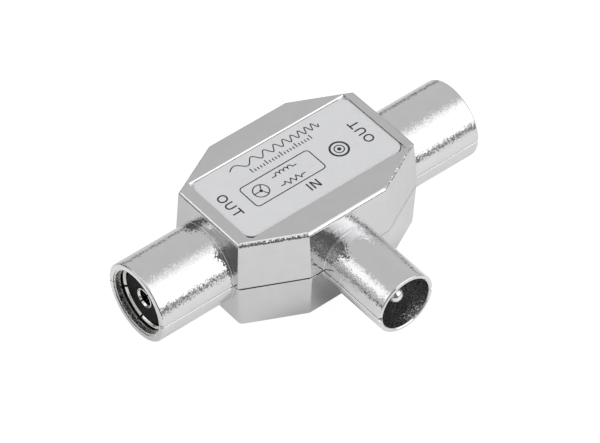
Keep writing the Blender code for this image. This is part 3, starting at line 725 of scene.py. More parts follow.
def radial_copies_tree():
    """Turns one sector into a full ring: equal copies about the port's axis, joined where they meet."""
    tree, given = copies_tree("radial_copies", {"Copies": "Int", "Join distance": "Float"})
    points = add_node(tree, "GeometryNodePoints", {"Count": given["Copies"]})
    index = add_node(tree, "GeometryNodeInputIndex").outputs[0]
    angle = maths(tree, "MULTIPLY", maths(tree, "DIVIDE", 2 * math.pi, given["Copies"]), index)
    turn = add_node(tree, "FunctionNodeAxisAngleToRotation", {"Axis": UP, "Angle": angle})
    ring = real_copies(tree, given, points, Rotation=turn.outputs[0])
    joining = {"Geometry": ring, "Distance": given["Join distance"]}
    join = add_node(tree, "GeometryNodeMergeByDistance", joining)
    return finish_tree(tree, given, join.outputs[0])


def row_of_copies_tree():
    """A row of equal marks, every fifth one longer."""
    kinds = {"Marks": "Int", "Step": "Vector", "Long every": "Int", "Long share": "Float"}
    tree, given = copies_tree("row_of_marks", kinds)
    line = add_node(tree, "GeometryNodeMeshLine", {"Count": given["Marks"], "Offset": given["Step"]})
    index = add_node(tree, "GeometryNodeInputIndex").outputs[0]
    is_long = maths(tree, "LESS_THAN", maths(tree, "MODULO", index, given["Long every"]), 0.5)
    height = maths(tree, "ADD", maths(tree, "MULTIPLY", is_long, given["Long share"]), 1.0)
    size = add_node(tree, "ShaderNodeCombineXYZ", {"X": 1.0, "Y": height, "Z": 1.0})
    return finish_tree(tree, given, real_copies(tree, given, line, Scale=size.outputs[0]))


def run_tree(thing, tree, values):
    """Puts a node tree on an object, with its inputs set by name."""
    step = thing.modifiers.new(tree.name, "NODES")
    step.node_group = tree
    for socket in tree.interface.items_tree:
        if socket.in_out == "INPUT" and socket.name in values:
            step[socket.identifier] = values[socket.name]


def sleeve_sector():
    """One finger with its share of the ring, as a thin sheet. Depth runs along Z."""
    half_pitch = math.pi / SLEEVE_FINGERS
    finger_half = half_pitch - math.asin(SLEEVE_SLOT_WIDTH / 2 / SLEEVE_SEAT)
    columns, rows, ring_rows = FINGER_COLUMNS, FINGER_ROWS, SLEEVE_RING_ROWS
    inner = [-finger_half + 2 * finger_half * i / columns for i in range(columns + 1)]
    angles = [-half_pitch, *inner, half_pitch]
    root = SOCKET_BORE_DEPTH - SLEEVE_RING_LENGTH
    ring_depths = [SOCKET_BORE_DEPTH - SLEEVE_RING_LENGTH * i / ring_rows for i in range(ring_rows)]
    finger_depths = [root + (SLEEVE_FRONT_DEPTH - root) * i / rows for i in range(rows + 1)]
    shape = bmesh.new()
    grid = {}
    for row, depth in enumerate([*ring_depths, *finger_depths]):
        flare = (depth - SLEEVE_FRONT_DEPTH - SLEEVE_LIP_LENGTH) / SLEEVE_FLARE_LENGTH
        flare = (1 - math.cos(math.pi * min(1.0, max(0.0, flare)))) / 2
        rise = min(1.0, max(0.0, root - depth) / SLEEVE_RISE_LENGTH)
        radius = SLEEVE_SEAT - SLEEVE_BOW * flare * (1 - math.cos(math.pi * rise)) / 2
        only_finger = row > len(ring_depths)
        for column, angle in enumerate(angles):
            if only_finger and column in (0, len(angles) - 1):
                continue
            point = (radius * math.cos(angle), radius * math.sin(angle), depth)
            grid[row, column] = shape.verts.new(point)
    for row, column in grid:
        corners = [(row, column), (row, column + 1), (row + 1, column + 1), (row + 1, column)]
        if all(corner in grid for corner in corners):
            shape.faces.new([grid[corner] for corner in corners])
    return shape


def spring_sleeve(name, port, finish, tree):
    """A thin slotted sleeve whose fingers bow inwards to grip a plug's outer tube."""
    mesh = bpy.data.meshes.new(name)
    shape = sleeve_sector()
    shape.to_mesh(mesh)
    shape.free()
    sector = place_object(f"{name}_sector", mesh)
    run_tree(sector, tree, {"Copies": SLEEVE_FINGERS, "Join distance": SLEEVE_JOIN, "Finish": finish})
    bpy.context.view_layer.update()
    ring = applied(sector)
    form = bmesh.new()
    form.from_mesh(ring)
    bmesh.ops.recalc_face_normals(form, faces=form.faces)
    outward = sum(face.normal.dot(face.calc_center_median().to_2d().to_3d()) for face in form.faces)
    if outward < 0:
        bmesh.ops.reverse_faces(form, faces=form.faces)
    form.to_mesh(ring)
    form.free()
    sheet = place_object(f"{name}_sheet", ring)
    wall = sheet.modifiers.new("wall", "SOLIDIFY")
    wall.thickness = SLEEVE_WALL
    wall.offset = -1.0
    wall.use_even_offset = True
    soften = sheet.modifiers.new("edges", "BEVEL")
    soften.width = SLEEVE_EDGE_ROUND
    soften.segments = 2
    soften.limit_method = "ANGLE"
    soften.angle_limit = math.radians(60)
    bpy.context.view_layer.update()
    solid = applied(sheet)
    solid.transform(port_matrix(port) @ Matrix.Rotation(SLEEVE_TURN, 4, "Z"))
    return smooth_piece(name, solid, finish)


# Print on the label, in the label's plane: X to the right and Y to the back
INK_THICKNESS = 0.000012
INK_LOW = LABEL_TOP - INK_THICKNESS / 4
INK_HIGH = LABEL_TOP + INK_THICKNESS
STROKE = 0.00023
THIN_STROKE = 0.00016
LETTER_HEIGHT = 0.00152
LETTER_GAP = 0.00036
LEFT_WORD = ((-0.01242, 0.00250), (0.0, -1.0), (1.0, 0.0))
RIGHT_WORD = ((0.01210, -0.00256), (0.0, 1.0), (-1.0, 0.0))
IN_WORD = ((-0.00117, -0.00477), (1.0, 0.0), (0.0, 1.0))


def ribbon(shape, path, width, closed=False):
    """A flat inked line along a path, with mitred corners."""
    points = [Vector(point) for point in path]
    count = len(points)
    rings = []
    for i, point in enumerate(points):
        before = points[i - 1] if i > 0 or closed else point
        after = points[(i + 1) % count] if i < count - 1 or closed else point
        arriving = (point - before).normalized() if before != point else (after - point).normalized()
        leaving = (after - point).normalized() if after != point else arriving
        side = Vector((-arriving.y, arriving.x)) + Vector((-leaving.y, leaving.x))
        side = side.normalized()
        reach = width / 2 / max(0.5, side.dot(Vector((-arriving.y, arriving.x))))
        left, right = point + side * reach, point - side * reach
        rings.append([(*right, INK_LOW), (*left, INK_LOW), (*left, INK_HIGH), (*right, INK_HIGH)])
    if not closed:
        ring_faces(shape, rings)
        return
    loops = [[shape.verts.new(corner) for corner in ring] for ring in rings]
    for i, ring in enumerate(loops):
        following = loops[(i + 1) % count]
        for j in range(4):
            k = (j + 1) % 4
            shape.faces.new((ring[j], ring[k], following[k], following[j]))


def flat_mark(shape, outline):
    ring_faces(shape, [[(x, y, z) for x, y in outline] for z in (INK_LOW, INK_HIGH)])


def oval(centre, half_width, half_height, power=2.0, steps=48):
    """Points round an oval. A power above 2 makes its shoulders squarer."""
    points = []
    for i in range(steps):
        angle = 2 * math.pi * i / steps
        c, s = math.cos(angle), math.sin(angle)
        x = half_width * math.copysign(abs(c) ** (2 / power), c)
        y = half_height * math.copysign(abs(s) ** (2 / power), s)
        points.append((centre[0] + x, centre[1] + y))
    return points


def letter_o(shape, at, height):
    width = 0.96 * height
    centre = (width / 2, height / 2)
    path = oval(centre, (width - STROKE) / 2, (height - STROKE) / 2, 2.2)
    ribbon(shape, [at(*point) for point in path], STROKE, closed=True)
    return width


def letter_u(shape, at, height):
    width = 0.8 * height
    left, right, turn = STROKE / 2, width - STROKE / 2, (width - STROKE) / 2
    bend = arc((width / 2, STROKE / 2 + turn), turn, math.pi, 2 * math.pi, 16)
    path = [(left, height), *bend, (right, height)]
    ribbon(shape, [at(*point) for point in path], STROKE)
    return width


def letter_t(shape, at, height):
    width, bar = 0.86 * height, height - STROKE
    left, right = (width - STROKE) / 2, (width + STROKE) / 2
    outline = [
        (left, 0), (right, 0), (right, bar), (width, bar),
        (width, height), (0, height), (0, bar), (left, bar),
    ]
    flat_mark(shape, [at(*point) for point in outline])
    return width


def letter_i(shape, at, height):
    flat_mark(shape, [at(*point) for point in ((0, 0), (STROKE, 0), (STROKE, height), (0, height))])
    return STROKE


def letter_n(shape, at, height):
    width, slant = 0.8 * height, 1.2 * STROKE
    left_end = height * (1 - STROKE / (width - slant))
    right_end = height * (1 - (width - STROKE - slant) / (width - slant))
    outline = [
        (0, 0), (STROKE, 0), (STROKE, left_end), (width - slant, 0), (width, 0),
        (width, height), (width - STROKE, height), (width - STROKE, right_end), (slant, height), (0, height),
    ]
    flat_mark(shape, [at(*point) for point in outline])
    return width


def word(shape, letters, place, height=LETTER_HEIGHT):
    """Letters in a row. The place gives the start of the baseline, the way along it and the way up."""
    start, along, up = (Vector(part) for part in place)
    used = 0.0
    for letter in letters:
        def at(x, y, offset=used):
            return tuple(start + along * (x + offset) + up * y)
        used += letter(shape, at, height) + LETTER_GAP


def sweep_line(shape):
    """A wave that tightens from left to right."""
    start, end, height, turns = Vector((-0.0077, 0.00518)), Vector((0.0076, 0.00486)), 0.00056, 9.0
    steps = 360
    path = []
    for i in range(steps + 1):
        share = i / steps
        phase = 2 * math.pi * turns * (0.35 * share + 0.65 * share ** 2)
        path.append(start.lerp(end, share) + Vector((0.0, height * math.sin(phase))))
    ribbon(shape, path, THIN_STROKE)


def junction_sign(shape, centre):
    """Three lines that meet at a dot, in a circle."""
    ribbon(shape, oval(centre, 0.00118, 0.00118), THIN_STROKE, closed=True)
    flat_mark(shape, oval(centre, 0.00028, 0.00028, steps=24))
    for angle in (math.pi, math.pi / 3, -math.pi / 3):
        way = Vector((math.cos(angle), math.sin(angle)))
        ribbon(shape, [Vector(centre) + way * reach for reach in (0.00036, 0.00110)], THIN_STROKE)


def coil_sign(shape, start, lead):
    radius, turns, squash, steps = 0.00036, 4, 1.4, 12
    path = [(start[0] - lead, start[1]), start]
    for turn in range(turns):
        bend = arc((start[0] + radius * (2 * turn + 1), 0.0), radius, math.pi, 0.0, steps)
        path += [(x, start[1] + squash * y) for x, y in bend[1:]]
    path.append((path[-1][0] + lead, start[1]))
    ribbon(shape, path, THIN_STROKE)


def resistor_sign(shape, start, lead):
    step, peaks, height = 0.00024, 6, 0.00042
    path = [(start[0] - lead, start[1]), start]
    for i in range(peaks):
        rise = height if i % 2 == 0 else -height
        path.append((start[0] + step * (2 * i + 1), start[1] + rise))
    end = start[0] + step * 2 * peaks
    path += [(end, start[1]), (end + lead, start[1])]
    ribbon(shape, path, THIN_STROKE)


def framed_signs(shape):
    """A rounded frame round plain circuit signs: a junction, a coil and a resistor."""
    frame_line = rounded(rectangle_corners(0.0121, 0.0043, (-0.0028, -0.00034)), 0.0, 0.00055)
    ribbon(shape, frame_line, THIN_STROKE, closed=True)
    junction_sign(shape, (-0.0066, -0.00034))
    coil_sign(shape, (-0.0032, 0.0006), 0.0007)
    resistor_sign(shape, (-0.0032, -0.0014), 0.0007)


def coax_symbol(shape):
    """A round cable end seen head on: jacket, screen and centre conductor."""
    centre = (0.0068, -0.0009)
    ribbon(shape, oval(centre, 0.00135, 0.00135), 0.00030, closed=True)
    ribbon(shape, oval(centre, 0.00072, 0.00072), THIN_STROKE, closed=True)
    flat_mark(shape, oval(centre, 0.00030, 0.00030, steps=24))


def label_print(name, finish):
    shape = bmesh.new()
    word(shape, (letter_o, letter_u, letter_t), LEFT_WORD)
    word(shape, (letter_o, letter_u, letter_t), RIGHT_WORD)
    word(shape, (letter_i, letter_n), IN_WORD)
    sweep_line(shape)
    framed_signs(shape)
    coax_symbol(shape)
    mesh = clean_mesh(name, shape)
    mesh.materials.append(finish)
    return place_object(name, mesh)


def tick_scale(name, finish, tree):
    """A row of ticks under the sweep line."""
    start, step, marks = (-0.0052, 0.00305), 0.00052, 21
    shape = bmesh.new()
    half, height = THIN_STROKE / 2, 0.00052
    flat_mark(shape, [(-half, 0.0), (half, 0.0), (half, height), (-half, height)])
    mark = place_object(f"{name}_mark", clean_mesh(name, shape))
    values = {"Marks": marks, "Step": (step, 0.0, 0.0), "Long every": 5, "Long share": 0.75}
    run_tree(mark, tree, {**values, "Finish": finish})
    bpy.context.view_layer.update()
    row = applied(mark)
    row.transform(Matrix.Translation((*start, 0.0)))
    row.name = name
    return place_object(name, row)


def start_material(name, roughness, metallic=0.0):
    made = bpy.data.materials.new(name)
    made.use_nodes = True
    tree = made.node_tree
    shader = tree.nodes["Principled BSDF"]
    shader.inputs["Roughness"].default_value = roughness
    shader.inputs["Metallic"].default_value = metallic
    return made, tree, shader, add_node(tree, "ShaderNodeTexCoord").outputs["Object"]


def noise(tree, where, scale, detail=2.0):
    inputs = {"Vector": where, "Scale": scale, "Detail": detail, "Roughness": 0.5}
    return add_node(tree, "ShaderNodeTexNoise", inputs).outputs["Fac"]


def ramp(tree, factor, stops):
    """A colour ramp with (position, colour) stops."""
    made = add_node(tree, "ShaderNodeValToRGB", {"Fac": factor})
    elements = made.color_ramp.elements
    while len(elements) < len(stops):
        elements.new(0.5)
    for element, (position, colour) in zip(elements, stops):
        element.position = position
        element.color = (*colour, 1.0)
    return made.outputs["Color"]


def mapped(tree, value, start, end, low=0.0, high=1.0, kind="LINEAR"):
    """A change from low to high while the value goes from start to end."""
    inputs = {"Value": value, "From Min": start, "From Max": end, "To Min": low, "To Max": high}
    return add_node(tree, "ShaderNodeMapRange", inputs, interpolation_type=kind).outputs["Result"]


def fade(tree, value, start, end, low=0.0, high=1.0):
    """A smooth change from low to high while the value goes from start to end."""
    return mapped(tree, value, start, end, low, high, "SMOOTHSTEP")


def spread(tree, factor, low, high):
    """Maps a noise's middle range to a range of values."""
    return mapped(tree, factor, 0.3, 0.7, low, high)


def bump(tree, height, distance, below=None):
    inputs = {"Height": height, "Strength": 1.0, "Distance": distance}
    if below:
        inputs["Normal"] = below
    return add_node(tree, "ShaderNodeBump", inputs).outputs["Normal"]


def cast_masks(tree, where):
    """How strong the casting's grain is, where its tubes are and where its bores are."""
    place = separated(tree, where)
    facing = separated(tree, add_node(tree, "ShaderNodeNewGeometry").outputs["Normal"])
    end, front_face = BODY_LENGTH / 2, -BODY_WIDTH / 2
    ends = fade(tree, maths(tree, "ABSOLUTE", place["X"]), end, end + MASK_EDGE)
    front = fade(tree, place["Y"], front_face - MASK_EDGE, front_face, 1.0, 0.0)
    tubes = maths(tree, "MAXIMUM", ends, front)
    slanted = maths(tree, "ABSOLUTE", maths(tree, "MULTIPLY", facing["X"], facing["Y"]))
    edge = maths(
        tree,
        "MULTIPLY",
        fade(tree, facing["Z"], 0.1, 0.3),
        fade(tree, facing["Z"], 0.985, 0.999, 1.0, 0.0),
        fade(tree, slanted, *SLANTED, 0.25, 1.0),
        fade(tree, place["Z"], *[UPPER_HIGH.z + level for level in EDGE_BAND]),
        EDGE_GRAIN,
    )
    upright = fade(tree, facing["Z"], 0.3, 0.8, 1.0, 0.0)
    square = maths(tree, "MULTIPLY", upright, fade(tree, slanted, *SLANTED, 1.0, 0.0))
    faces = fade(tree, square, 0.0, 1.0, FACE_GRAIN, SQUARE_FACE_GRAIN)
    bored = 0.0
    for along, across, bore in ((front, (1.0, 0.0, 1.0), PLUG_BORE), (ends, (0.0, 1.0, 1.0), SOCKET_BORE)):
        flat = vector_maths(tree, "MULTIPLY", where, across)
        reach = vector_maths(tree, "DISTANCE", flat, (0.0, 0.0, SEAM))
        inside = fade(tree, reach, *[bore / 2 + extra for extra in BORE_EDGE], 1.0, 0.0)
        bored = maths(tree, "MAXIMUM", bored, maths(tree, "MULTIPLY", inside, along))
    grain = maths(tree, "MAXIMUM", faces, tubes, edge, maths(tree, "MULTIPLY", bored, BORE_GRAIN))
    return grain, tubes, bored


def faceted(tree, where, size, tilt, share=1.0):
    """The surface's direction, tilted at random from one tiny facet of the plate to the next."""
    cells = add_node(tree, "ShaderNodeTexVoronoi", {"Vector": where, "Scale": 1 / size})
    centred = vector_maths(tree, "SUBTRACT", cells.outputs["Color"], (0.5, 0.5, 0.5))
    tilted = scaled(tree, centred, maths(tree, "MULTIPLY", share, 2 * tilt))
    normal = add_node(tree, "ShaderNodeNewGeometry").outputs["Normal"]
    return vector_maths(tree, "NORMALIZE", vector_maths(tree, "ADD", normal, tilted))


def plated_metal(name, dark, light, roughness, grain_size, tilt, wave_size, wave_depth, is_cast=False):
    """Nickel plate: the casting's or the tool's grain shows through the bright layer."""
    made, tree, shader, where = start_material(name, roughness, 1.0)
    clouds = noise(tree, where, 1 / (12 * grain_size), 3.0)
    colour = ramp(tree, clouds, [(0.35, dark), (0.65, light)])
    grain = noise(tree, where, 1 / grain_size, 1.0)
    waves = noise(tree, where, 1 / wave_size, 1.0)
    dullness = spread(tree, grain, roughness * 0.75, roughness * 1.25)
    share = 1.0
    if is_cast:
        share, tubes, bored = cast_masks(tree, where)
        dullness = maths(tree, "ADD", dullness, maths(tree, "MULTIPLY", bored, BORE_DULLNESS))
        # Painted shade: the body's faces take a darker colour than the tubes
        colour = scaled(tree, colour, fade(tree, tubes, 0.0, 1.0, PAINTED_FACE_SHADE, 1.0))
    tree.links.new(colour, shader.inputs["Base Color"])
    tree.links.new(dullness, shader.inputs["Roughness"])
    facets = faceted(tree, where, grain_size, tilt, share)
    tree.links.new(bump(tree, waves, wave_depth, facets), shader.inputs["Normal"])
    return made


def plain_surface(name, dark, light, roughness, grain_size, grain_depth):
    """A non-metal surface with a fine grain and a little unevenness of colour and gloss."""
    made, tree, shader, where = start_material(name, roughness)
    clouds = noise(tree, where, 1 / (20 * grain_size), 3.0)
    tree.links.new(ramp(tree, clouds, [(0.3, dark), (0.7, light)]), shader.inputs["Base Color"])
    grain = noise(tree, where, 1 / grain_size, 2.0)
    tree.links.new(spread(tree, grain, roughness * 0.85, roughness * 1.15), shader.inputs["Roughness"])
    tree.links.new(bump(tree, grain, grain_depth), shader.inputs["Normal"])
    return made


def mixed_shader(tree, factor, first, second):
    return add_node(tree, "ShaderNodeMixShader", {"Fac": factor, 1: first, 2: second}).outputs[0]


def light_node(tree, kind, strength):
    return add_node(tree, kind, {"Color": (1.0, 1.0, 1.0, 1.0), "Strength": strength}).outputs[0]


# Strength of the casting's grain beside that on the tubes, and what else differs from the tubes
FACE_GRAIN = 0.6
SQUARE_FACE_GRAIN = 1.0
EDGE_GRAIN = 2.5
BORE_GRAIN = 2.4
BORE_DULLNESS = 0.2
# Painted shade: how much darker the body's faces are coloured than the tubes
PAINTED_FACE_SHADE = 0.93
MASK_EDGE = 0.0001
BORE_EDGE = (0.00003, 0.00008)
EDGE_BAND = (-0.0008, -0.0007)
SLANTED = (0.02, 0.15)

# Metals: dark and light colour, roughness, grain size, tilt of the grain, wave size and wave depth
CAST_NICKEL = ((0.69, 0.689, 0.696), (0.71, 0.709, 0.717), 0.06, 0.00016, 0.064, 0.003, 0.00002)
TURNED_NICKEL = ((0.78, 0.77, 0.75), (0.83, 0.82, 0.80), 0.12, 0.00012, 0.02, 0.002, 0.000006)
STRIP_NICKEL = ((0.66, 0.65, 0.63), (0.72, 0.71, 0.69), 0.16, 0.00014, 0.03, 0.002, 0.00001)
ENAMELLED_WIRE = ((0.5, 0.19, 0.08), (0.62, 0.26, 0.11), 0.28, 0.0002, 0.02, 0.002, 0.00001)

# Other surfaces: dark and light colour, roughness, grain size and grain depth
BLACK_PLASTIC = ((0.007, 0.0065, 0.007), (0.011, 0.0105, 0.011), 0.5, 0.00016, 0.000003)
BLACK_GLOSS = 0.06
# Charcoal plastic, its colour lightened as painted light so the disc deep in the plug port shows lit
CHARCOAL_WITH_PAINTED_LIGHT = ((0.29, 0.285, 0.285), (0.34, 0.335, 0.335), 0.5, 0.0002, 0.000006)
LABEL_FOIL = ((0.77, 0.773, 0.787), (0.79, 0.793, 0.807), 0.45, 0.0001, 0.0000012)
# Ink colour, also used for the painted shade sheet under the label
LABEL_INK_AND_SHADE = ((0.012, 0.012, 0.013), (0.022, 0.022, 0.024), 0.5, 0.00006, 0.000001)
SOLDER_MASK = ((0.012, 0.075, 0.03), (0.02, 0.11, 0.05), 0.35, 0.0003, 0.000004)
FERRITE = ((0.022, 0.022, 0.024), (0.04, 0.04, 0.042), 0.62, 0.00012, 0.000006)
CERAMIC = ((0.20, 0.13, 0.08), (0.30, 0.21, 0.13), 0.5, 0.0002, 0.000004)

# Table: painted light and shade in its colour, as brightness in front and behind, and (start, end, brightness
# at each) of round patches about a centre
TABLE_SIZE = 3.0
TABLE_WHITE = 1.15
TABLE_WHITE_SHARE = 0.85
TABLE_SHEEN = 0.10
TABLE_SHEEN_ROUGHNESS = 0.35
TABLE_PAINTED_LIGHT_FRONT = 0.78
TABLE_PAINTED_SHADE_BACK = 0.68
# Painted light: the table glows for mirrored rays, more in front than behind
TABLE_PAINTED_GLOW_FRONT = 1.42
TABLE_PAINTED_GLOW_BACK = 1.05
TABLE_PAINTED_GLOW_SHARE = 0.4
TABLE_TURN = (-0.03, 0.03)
TABLE_FAR = (0.04, 0.18)
# Painted shadow on the table near the object's middle
TABLE_PAINTED_SHADOW_NEAR = (0.012, 0.017, 0.65, 1.0)
# Painted light and shade: a bright patch at the left, darker patches beside it, under the plug port, beside
# the right port and far in front
TABLE_PAINTED_LIGHT_AND_SHADE_PATCHES = [
    ((-0.038, 0.010, 0.0), (0.006, 0.014, 1.25, 1.0)),
    ((-0.026, 0.002, 0.0), (0.005, 0.010, 0.86, 1.0)),
    ((0.000, -0.0135, 0.0), (0.003, 0.007, 0.55, 1.0)),
    ((0.030, 0.004, 0.0), (0.005, 0.010, 0.55, 1.0)),
    ((-0.036, -0.088, 0.0), (0.035, 0.055, 0.1, 1.0)),
]
# Painted shade far behind at the left, with a painted glow that grows away from it
TABLE_PAINTED_DARK_PATCH = ((-0.17, 0.11, 0.0), (0.09, 0.16, 0.15, 1.0))
TABLE_PAINTED_FAR_GLOW = (0.072, 0.24)

# Room: (height of the direction, brightness) from straight down to straight up
ROOM_LIGHT = [(-1.0, 0.3), (0.0, 0.17), (0.015, 0.33), (0.045, 0.68), (0.35, 0.69), (1.0, 0.68)]
ROOM_DARKEST = 0.05
# Patches of the room: (azimuth, elevation, brightness), then (start, end) of the fade sideways, up and down
FRONT_SOFTBOX = ((-62.0, 34.0, 1.35), (0.42, 0.64), (-0.4, 1.3), (-0.32, -0.60))
LEFT_SOFTBOX = ((143.0, 26.0, 0.68), (0.28, 0.42), (0.14, 0.36), (-0.10, -0.18))
DARK_CORNER = ((-117.0, 15.0, -0.50), (0.28, 0.78), (0.75, 1.35), (-0.28, -0.44))
DARK_DOOR = ((112.0, 12.0, -0.53), (0.10, 0.30), (0.30, 0.55), (-0.25, -0.35))
TOP_LAMP_SIZE = 0.5
TOP_LAMP_POWER = 0.35
TOP_LAMP_HEIGHT = 0.9


def seen_through(tree):
    """Which rays come from the camera or through a clear material, and which are mirrored."""
    path = add_node(tree, "ShaderNodeLightPath").outputs
    return maths(tree, "MAXIMUM", path["Is Camera Ray"], path["Is Transmission Ray"]), path["Is Glossy Ray"]


def floor_material():
    """White table. The camera and clear materials see the white background and the object's shadow. Its
    colour carries painted light and shade, and mirrored rays see a painted glow.
    """
    made = bpy.data.materials.new("white_table_painted_light")
    made.use_nodes = True
    tree = made.node_tree
    tree.nodes.clear()
    seen, mirrored = seen_through(tree)
    where = add_node(tree, "ShaderNodeTexCoord").outputs["Object"]
    depth = separated(tree, where)["Y"]
    length = vector_maths(tree, "LENGTH", where)
    # Painted shadow near the object, then painted light and shade from the round patches
    painted_light_and_shade = fade(tree, length, *TABLE_PAINTED_SHADOW_NEAR)
    for centre, brightness in (*TABLE_PAINTED_LIGHT_AND_SHADE_PATCHES, TABLE_PAINTED_DARK_PATCH):
        reach = vector_maths(tree, "DISTANCE", where, centre)
        painted_light_and_shade = maths(tree, "MULTIPLY", painted_light_and_shade, fade(tree, reach, *brightness))
    # Painted light and shade: the table's colour is lighter in front than behind
    colour = maths(tree, "MULTIPLY", fade(tree, depth, *TABLE_TURN, TABLE_PAINTED_LIGHT_FRONT, TABLE_PAINTED_SHADE_BACK), painted_light_and_shade)
    table = add_node(tree, "ShaderNodeBsdfDiffuse", {"Color": colour}).outputs[0]
    sheen = add_node(tree, "ShaderNodeBsdfAnisotropic", {"Roughness": TABLE_SHEEN_ROUGHNESS}).outputs[0]
    view = mixed_shader(tree, TABLE_SHEEN, table, sheen)
    # Painted glow for mirrored rays, brighter in front
    glow = maths(tree, "MULTIPLY", fade(tree, depth, *TABLE_TURN, TABLE_PAINTED_GLOW_FRONT, TABLE_PAINTED_GLOW_BACK), painted_light_and_shade)
    # The reach left by the loop is that of the painted dark patch, its last one
    far_glow = fade(tree, reach, *TABLE_PAINTED_DARK_PATCH[1][:2], *TABLE_PAINTED_FAR_GLOW)
    for share, strength in (
        (maths(tree, "MULTIPLY", mirrored, TABLE_PAINTED_GLOW_SHARE), glow),
        (maths(tree, "MULTIPLY", mirrored, fade(tree, length, *TABLE_FAR)), far_glow),
        (maths(tree, "MULTIPLY", seen, TABLE_WHITE_SHARE), TABLE_WHITE),
    ):
        view = mixed_shader(tree, share, view, light_node(tree, "ShaderNodeEmission", strength))
    add_node(tree, "ShaderNodeOutputMaterial", {"Surface": view})
    return made


def room_patch(tree, direction, patch):
    """A soft-edged rectangle of the room, as brightness to add for a direction."""
    (azimuth, elevation, brightness), sides, top, bottom = patch
    a, e = math.radians(azimuth), math.radians(elevation)
    centre = Vector((math.cos(a) * math.cos(e), math.sin(a) * math.cos(e), math.sin(e)))
    side = UP.cross(centre).normalized()
    axes = (centre, side, centre.cross(side))
    ahead, across, above = [vector_maths(tree, "DOT_PRODUCT", direction, axis) for axis in axes]
    ahead = maths(tree, "MAXIMUM", ahead, 0.01)
    across = maths(tree, "ABSOLUTE", maths(tree, "DIVIDE", across, ahead))
    above = maths(tree, "DIVIDE", above, ahead)
    below = maths(tree, "MULTIPLY", above, -1.0)
    inside = fade(tree, across, *sides, 1.0, 0.0)
    under_top = fade(tree, above, *top, 1.0, 0.0)
    over_bottom = fade(tree, below, -bottom[0], -bottom[1], 1.0, 0.0)
    return maths(tree, "MULTIPLY", inside, under_top, over_bottom, brightness)


def world_light():
    """A pale room with two softboxes, a dark corner and a dark door. The camera sees white."""
    world = bpy.data.worlds.new("studio")
    bpy.context.scene.world = world
    world.use_nodes = True
    tree = world.node_tree
    tree.nodes.clear()
    direction = add_node(tree, "ShaderNodeTexCoord").outputs["Generated"]
    height = mapped(tree, separated(tree, direction)["Z"], -1.0, 1.0)
    light = ramp(tree, height, [((z + 1) / 2, (value, value, value)) for z, value in ROOM_LIGHT])
    for patch in (DARK_CORNER, DARK_DOOR, FRONT_SOFTBOX, LEFT_SOFTBOX):
        light = maths(tree, "ADD", light, room_patch(tree, direction, patch))
        light = maths(tree, "MAXIMUM", light, ROOM_DARKEST)
    room = light_node(tree, "ShaderNodeBackground", light)
    white = light_node(tree, "ShaderNodeBackground", 1.0)
    view = mixed_shader(tree, seen_through(tree)[0], room, white)
    add_node(tree, "ShaderNodeOutputWorld", {"Surface": view})


def top_lamp():
    """A weak overhead lamp for the label and the floor."""
    lamp = bpy.data.lights.new("top_softbox", "AREA")
    lamp.shape = "DISK"
    lamp.size = TOP_LAMP_SIZE
    lamp.energy = TOP_LAMP_POWER
    place_object("top_softbox", lamp).location = (0.0, 0.0, TOP_LAMP_HEIGHT)


def studio():
    shape = bmesh.new()
    bmesh.ops.create_circle(shape, cap_ends=True, segments=96, radius=TABLE_SIZE / 2)
    mesh = bpy.data.meshes.new("table")
    shape.to_mesh(mesh)
    shape.free()
    mesh.materials.append(floor_material())
    place_object("table", mesh)
    world_light()
    top_lamp()


# The photograph's view
VIEW_AZIMUTH = math.radians(-38.84)
VIEW_ELEVATION = math.radians(46.36)
VIEW_ROLL = math.radians(-0.41)
VIEW_DISTANCE = 0.49675
VIEW_SIDE = 0.000374
VIEW_RISE = -0.001896
FOCAL_PIXELS = 3568.0
PICTURE_WIDTH = 600
SENSOR_WIDTH = 36.0


def camera():
    a, e = VIEW_AZIMUTH, VIEW_ELEVATION
    back = Vector((math.sin(a) * math.cos(e), -math.cos(a) * math.cos(e), math.sin(e)))
    level = UP.cross(back).normalized()
    upright = back.cross(level)
    side = level * math.cos(VIEW_ROLL) + upright * math.sin(VIEW_ROLL)
    rise = upright * math.cos(VIEW_ROLL) - level * math.sin(VIEW_ROLL)
    view = bpy.data.cameras.new("camera")
    view.sensor_width = SENSOR_WIDTH
    view.lens = FOCAL_PIXELS / PICTURE_WIDTH * SENSOR_WIDTH
    view.clip_start = 0.01
    made = place_object("camera", view)
    place = Vector((0.0, 0.0, SEAM)) + back * VIEW_DISTANCE + side * VIEW_SIDE + rise * VIEW_RISE
    made.matrix_world = Matrix.Translation(place) @ Matrix((side, rise, back)).transposed().to_4x4()
    bpy.context.scene.camera = made


def add_piece(made, slot, *nodes):
    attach(made, "root")
    if nodes:
        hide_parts(*nodes)


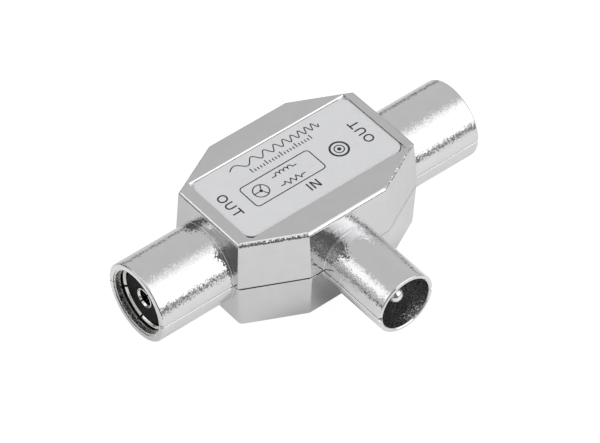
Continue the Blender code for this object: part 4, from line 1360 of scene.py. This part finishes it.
def dress_hidden_nodes():
    """The pieces inside the shells keep their own shapes and get the finish of the real parts."""
    ferrite = plain_surface("sintered_ferrite", *FERRITE)
    ceramic = plain_surface("fired_ceramic", *CERAMIC)
    copper = plated_metal("enamelled_copper", *ENAMELLED_WIRE)
    finishes = {
        "circuit_board": plain_surface("solder_mask", *SOLDER_MASK),
        "matching_core": ferrite,
        "splitting_core": ferrite,
        "isolation_resistor": ceramic,
        "compensation_capacitor": ceramic,
        "input_capacitor": ceramic,
        "matching_winding": copper,
        "left_splitting_winding": copper,
        "right_splitting_winding": copper,
    }
    for name, finish in finishes.items():
        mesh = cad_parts[name].data
        mesh.materials.clear()
        mesh.materials.append(finish)


def main():
    camera()
    studio()
    cast = plated_metal("nickel_on_casting", *CAST_NICKEL, is_cast=True)
    turned_nickel = plated_metal("nickel_on_brass", *TURNED_NICKEL)
    spring = plated_metal("nickel_on_strip", *STRIP_NICKEL)
    black = plain_surface("moulded_black", *BLACK_PLASTIC)
    black.node_tree.nodes["Principled BSDF"].inputs["Specular IOR Level"].default_value = BLACK_GLOSS
    charcoal_painted_light = plain_surface("moulded_charcoal_painted_light", *CHARCOAL_WITH_PAINTED_LIGHT)
    foil = plain_surface("label_foil", *LABEL_FOIL)
    ink_and_shade = plain_surface("black_ink_and_painted_shade", *LABEL_INK_AND_SHADE)

    add_piece(casting("upper_casting", 1, cast), "cast_nickel", "upper_shell")
    add_piece(casting("lower_casting", -1, cast), "cast_nickel", "lower_shell")
    add_piece(label_plate("label", foil), "label", "label_plate")
    # Painted shade in the front corners of the label recess
    add_piece(painted_shade_sheet("painted_shade_sheet", ink_and_shade), "label")
    add_piece(label_print("label_print", ink_and_shade), "label")
    add_piece(tick_scale("label_scale", ink_and_shade, row_of_copies_tree()), "label")
    radial = radial_copies_tree()
    for side, port in (("left", LEFT_PORT), ("right", RIGHT_PORT)):
        middle = contact(f"{side}_centre_contact", port, turned_nickel)
        add_piece(middle, "turned_nickel", f"{side}_contact")
        nose = socket_insulator(f"{side}_nose", port, black)
        add_piece(nose, "black_insulator", f"{side}_insulator")
        sleeve = spring_sleeve(f"{side}_sleeve", port, spring, radial)
        add_piece(sleeve, "spring_nickel", f"{side}_spring_sleeve")
    # The plug port's disc, coloured lighter than charcoal as painted light
    add_piece(plug_insulator("in_disc", IN_PORT, charcoal_painted_light), "black_insulator", "in_insulator")
    add_piece(plug_pin("centre_pin", IN_PORT, turned_nickel), "turned_nickel", "in_pin")
    dress_hidden_nodes()
    bpy.context.scene.view_settings.view_transform = "Standard"


main()
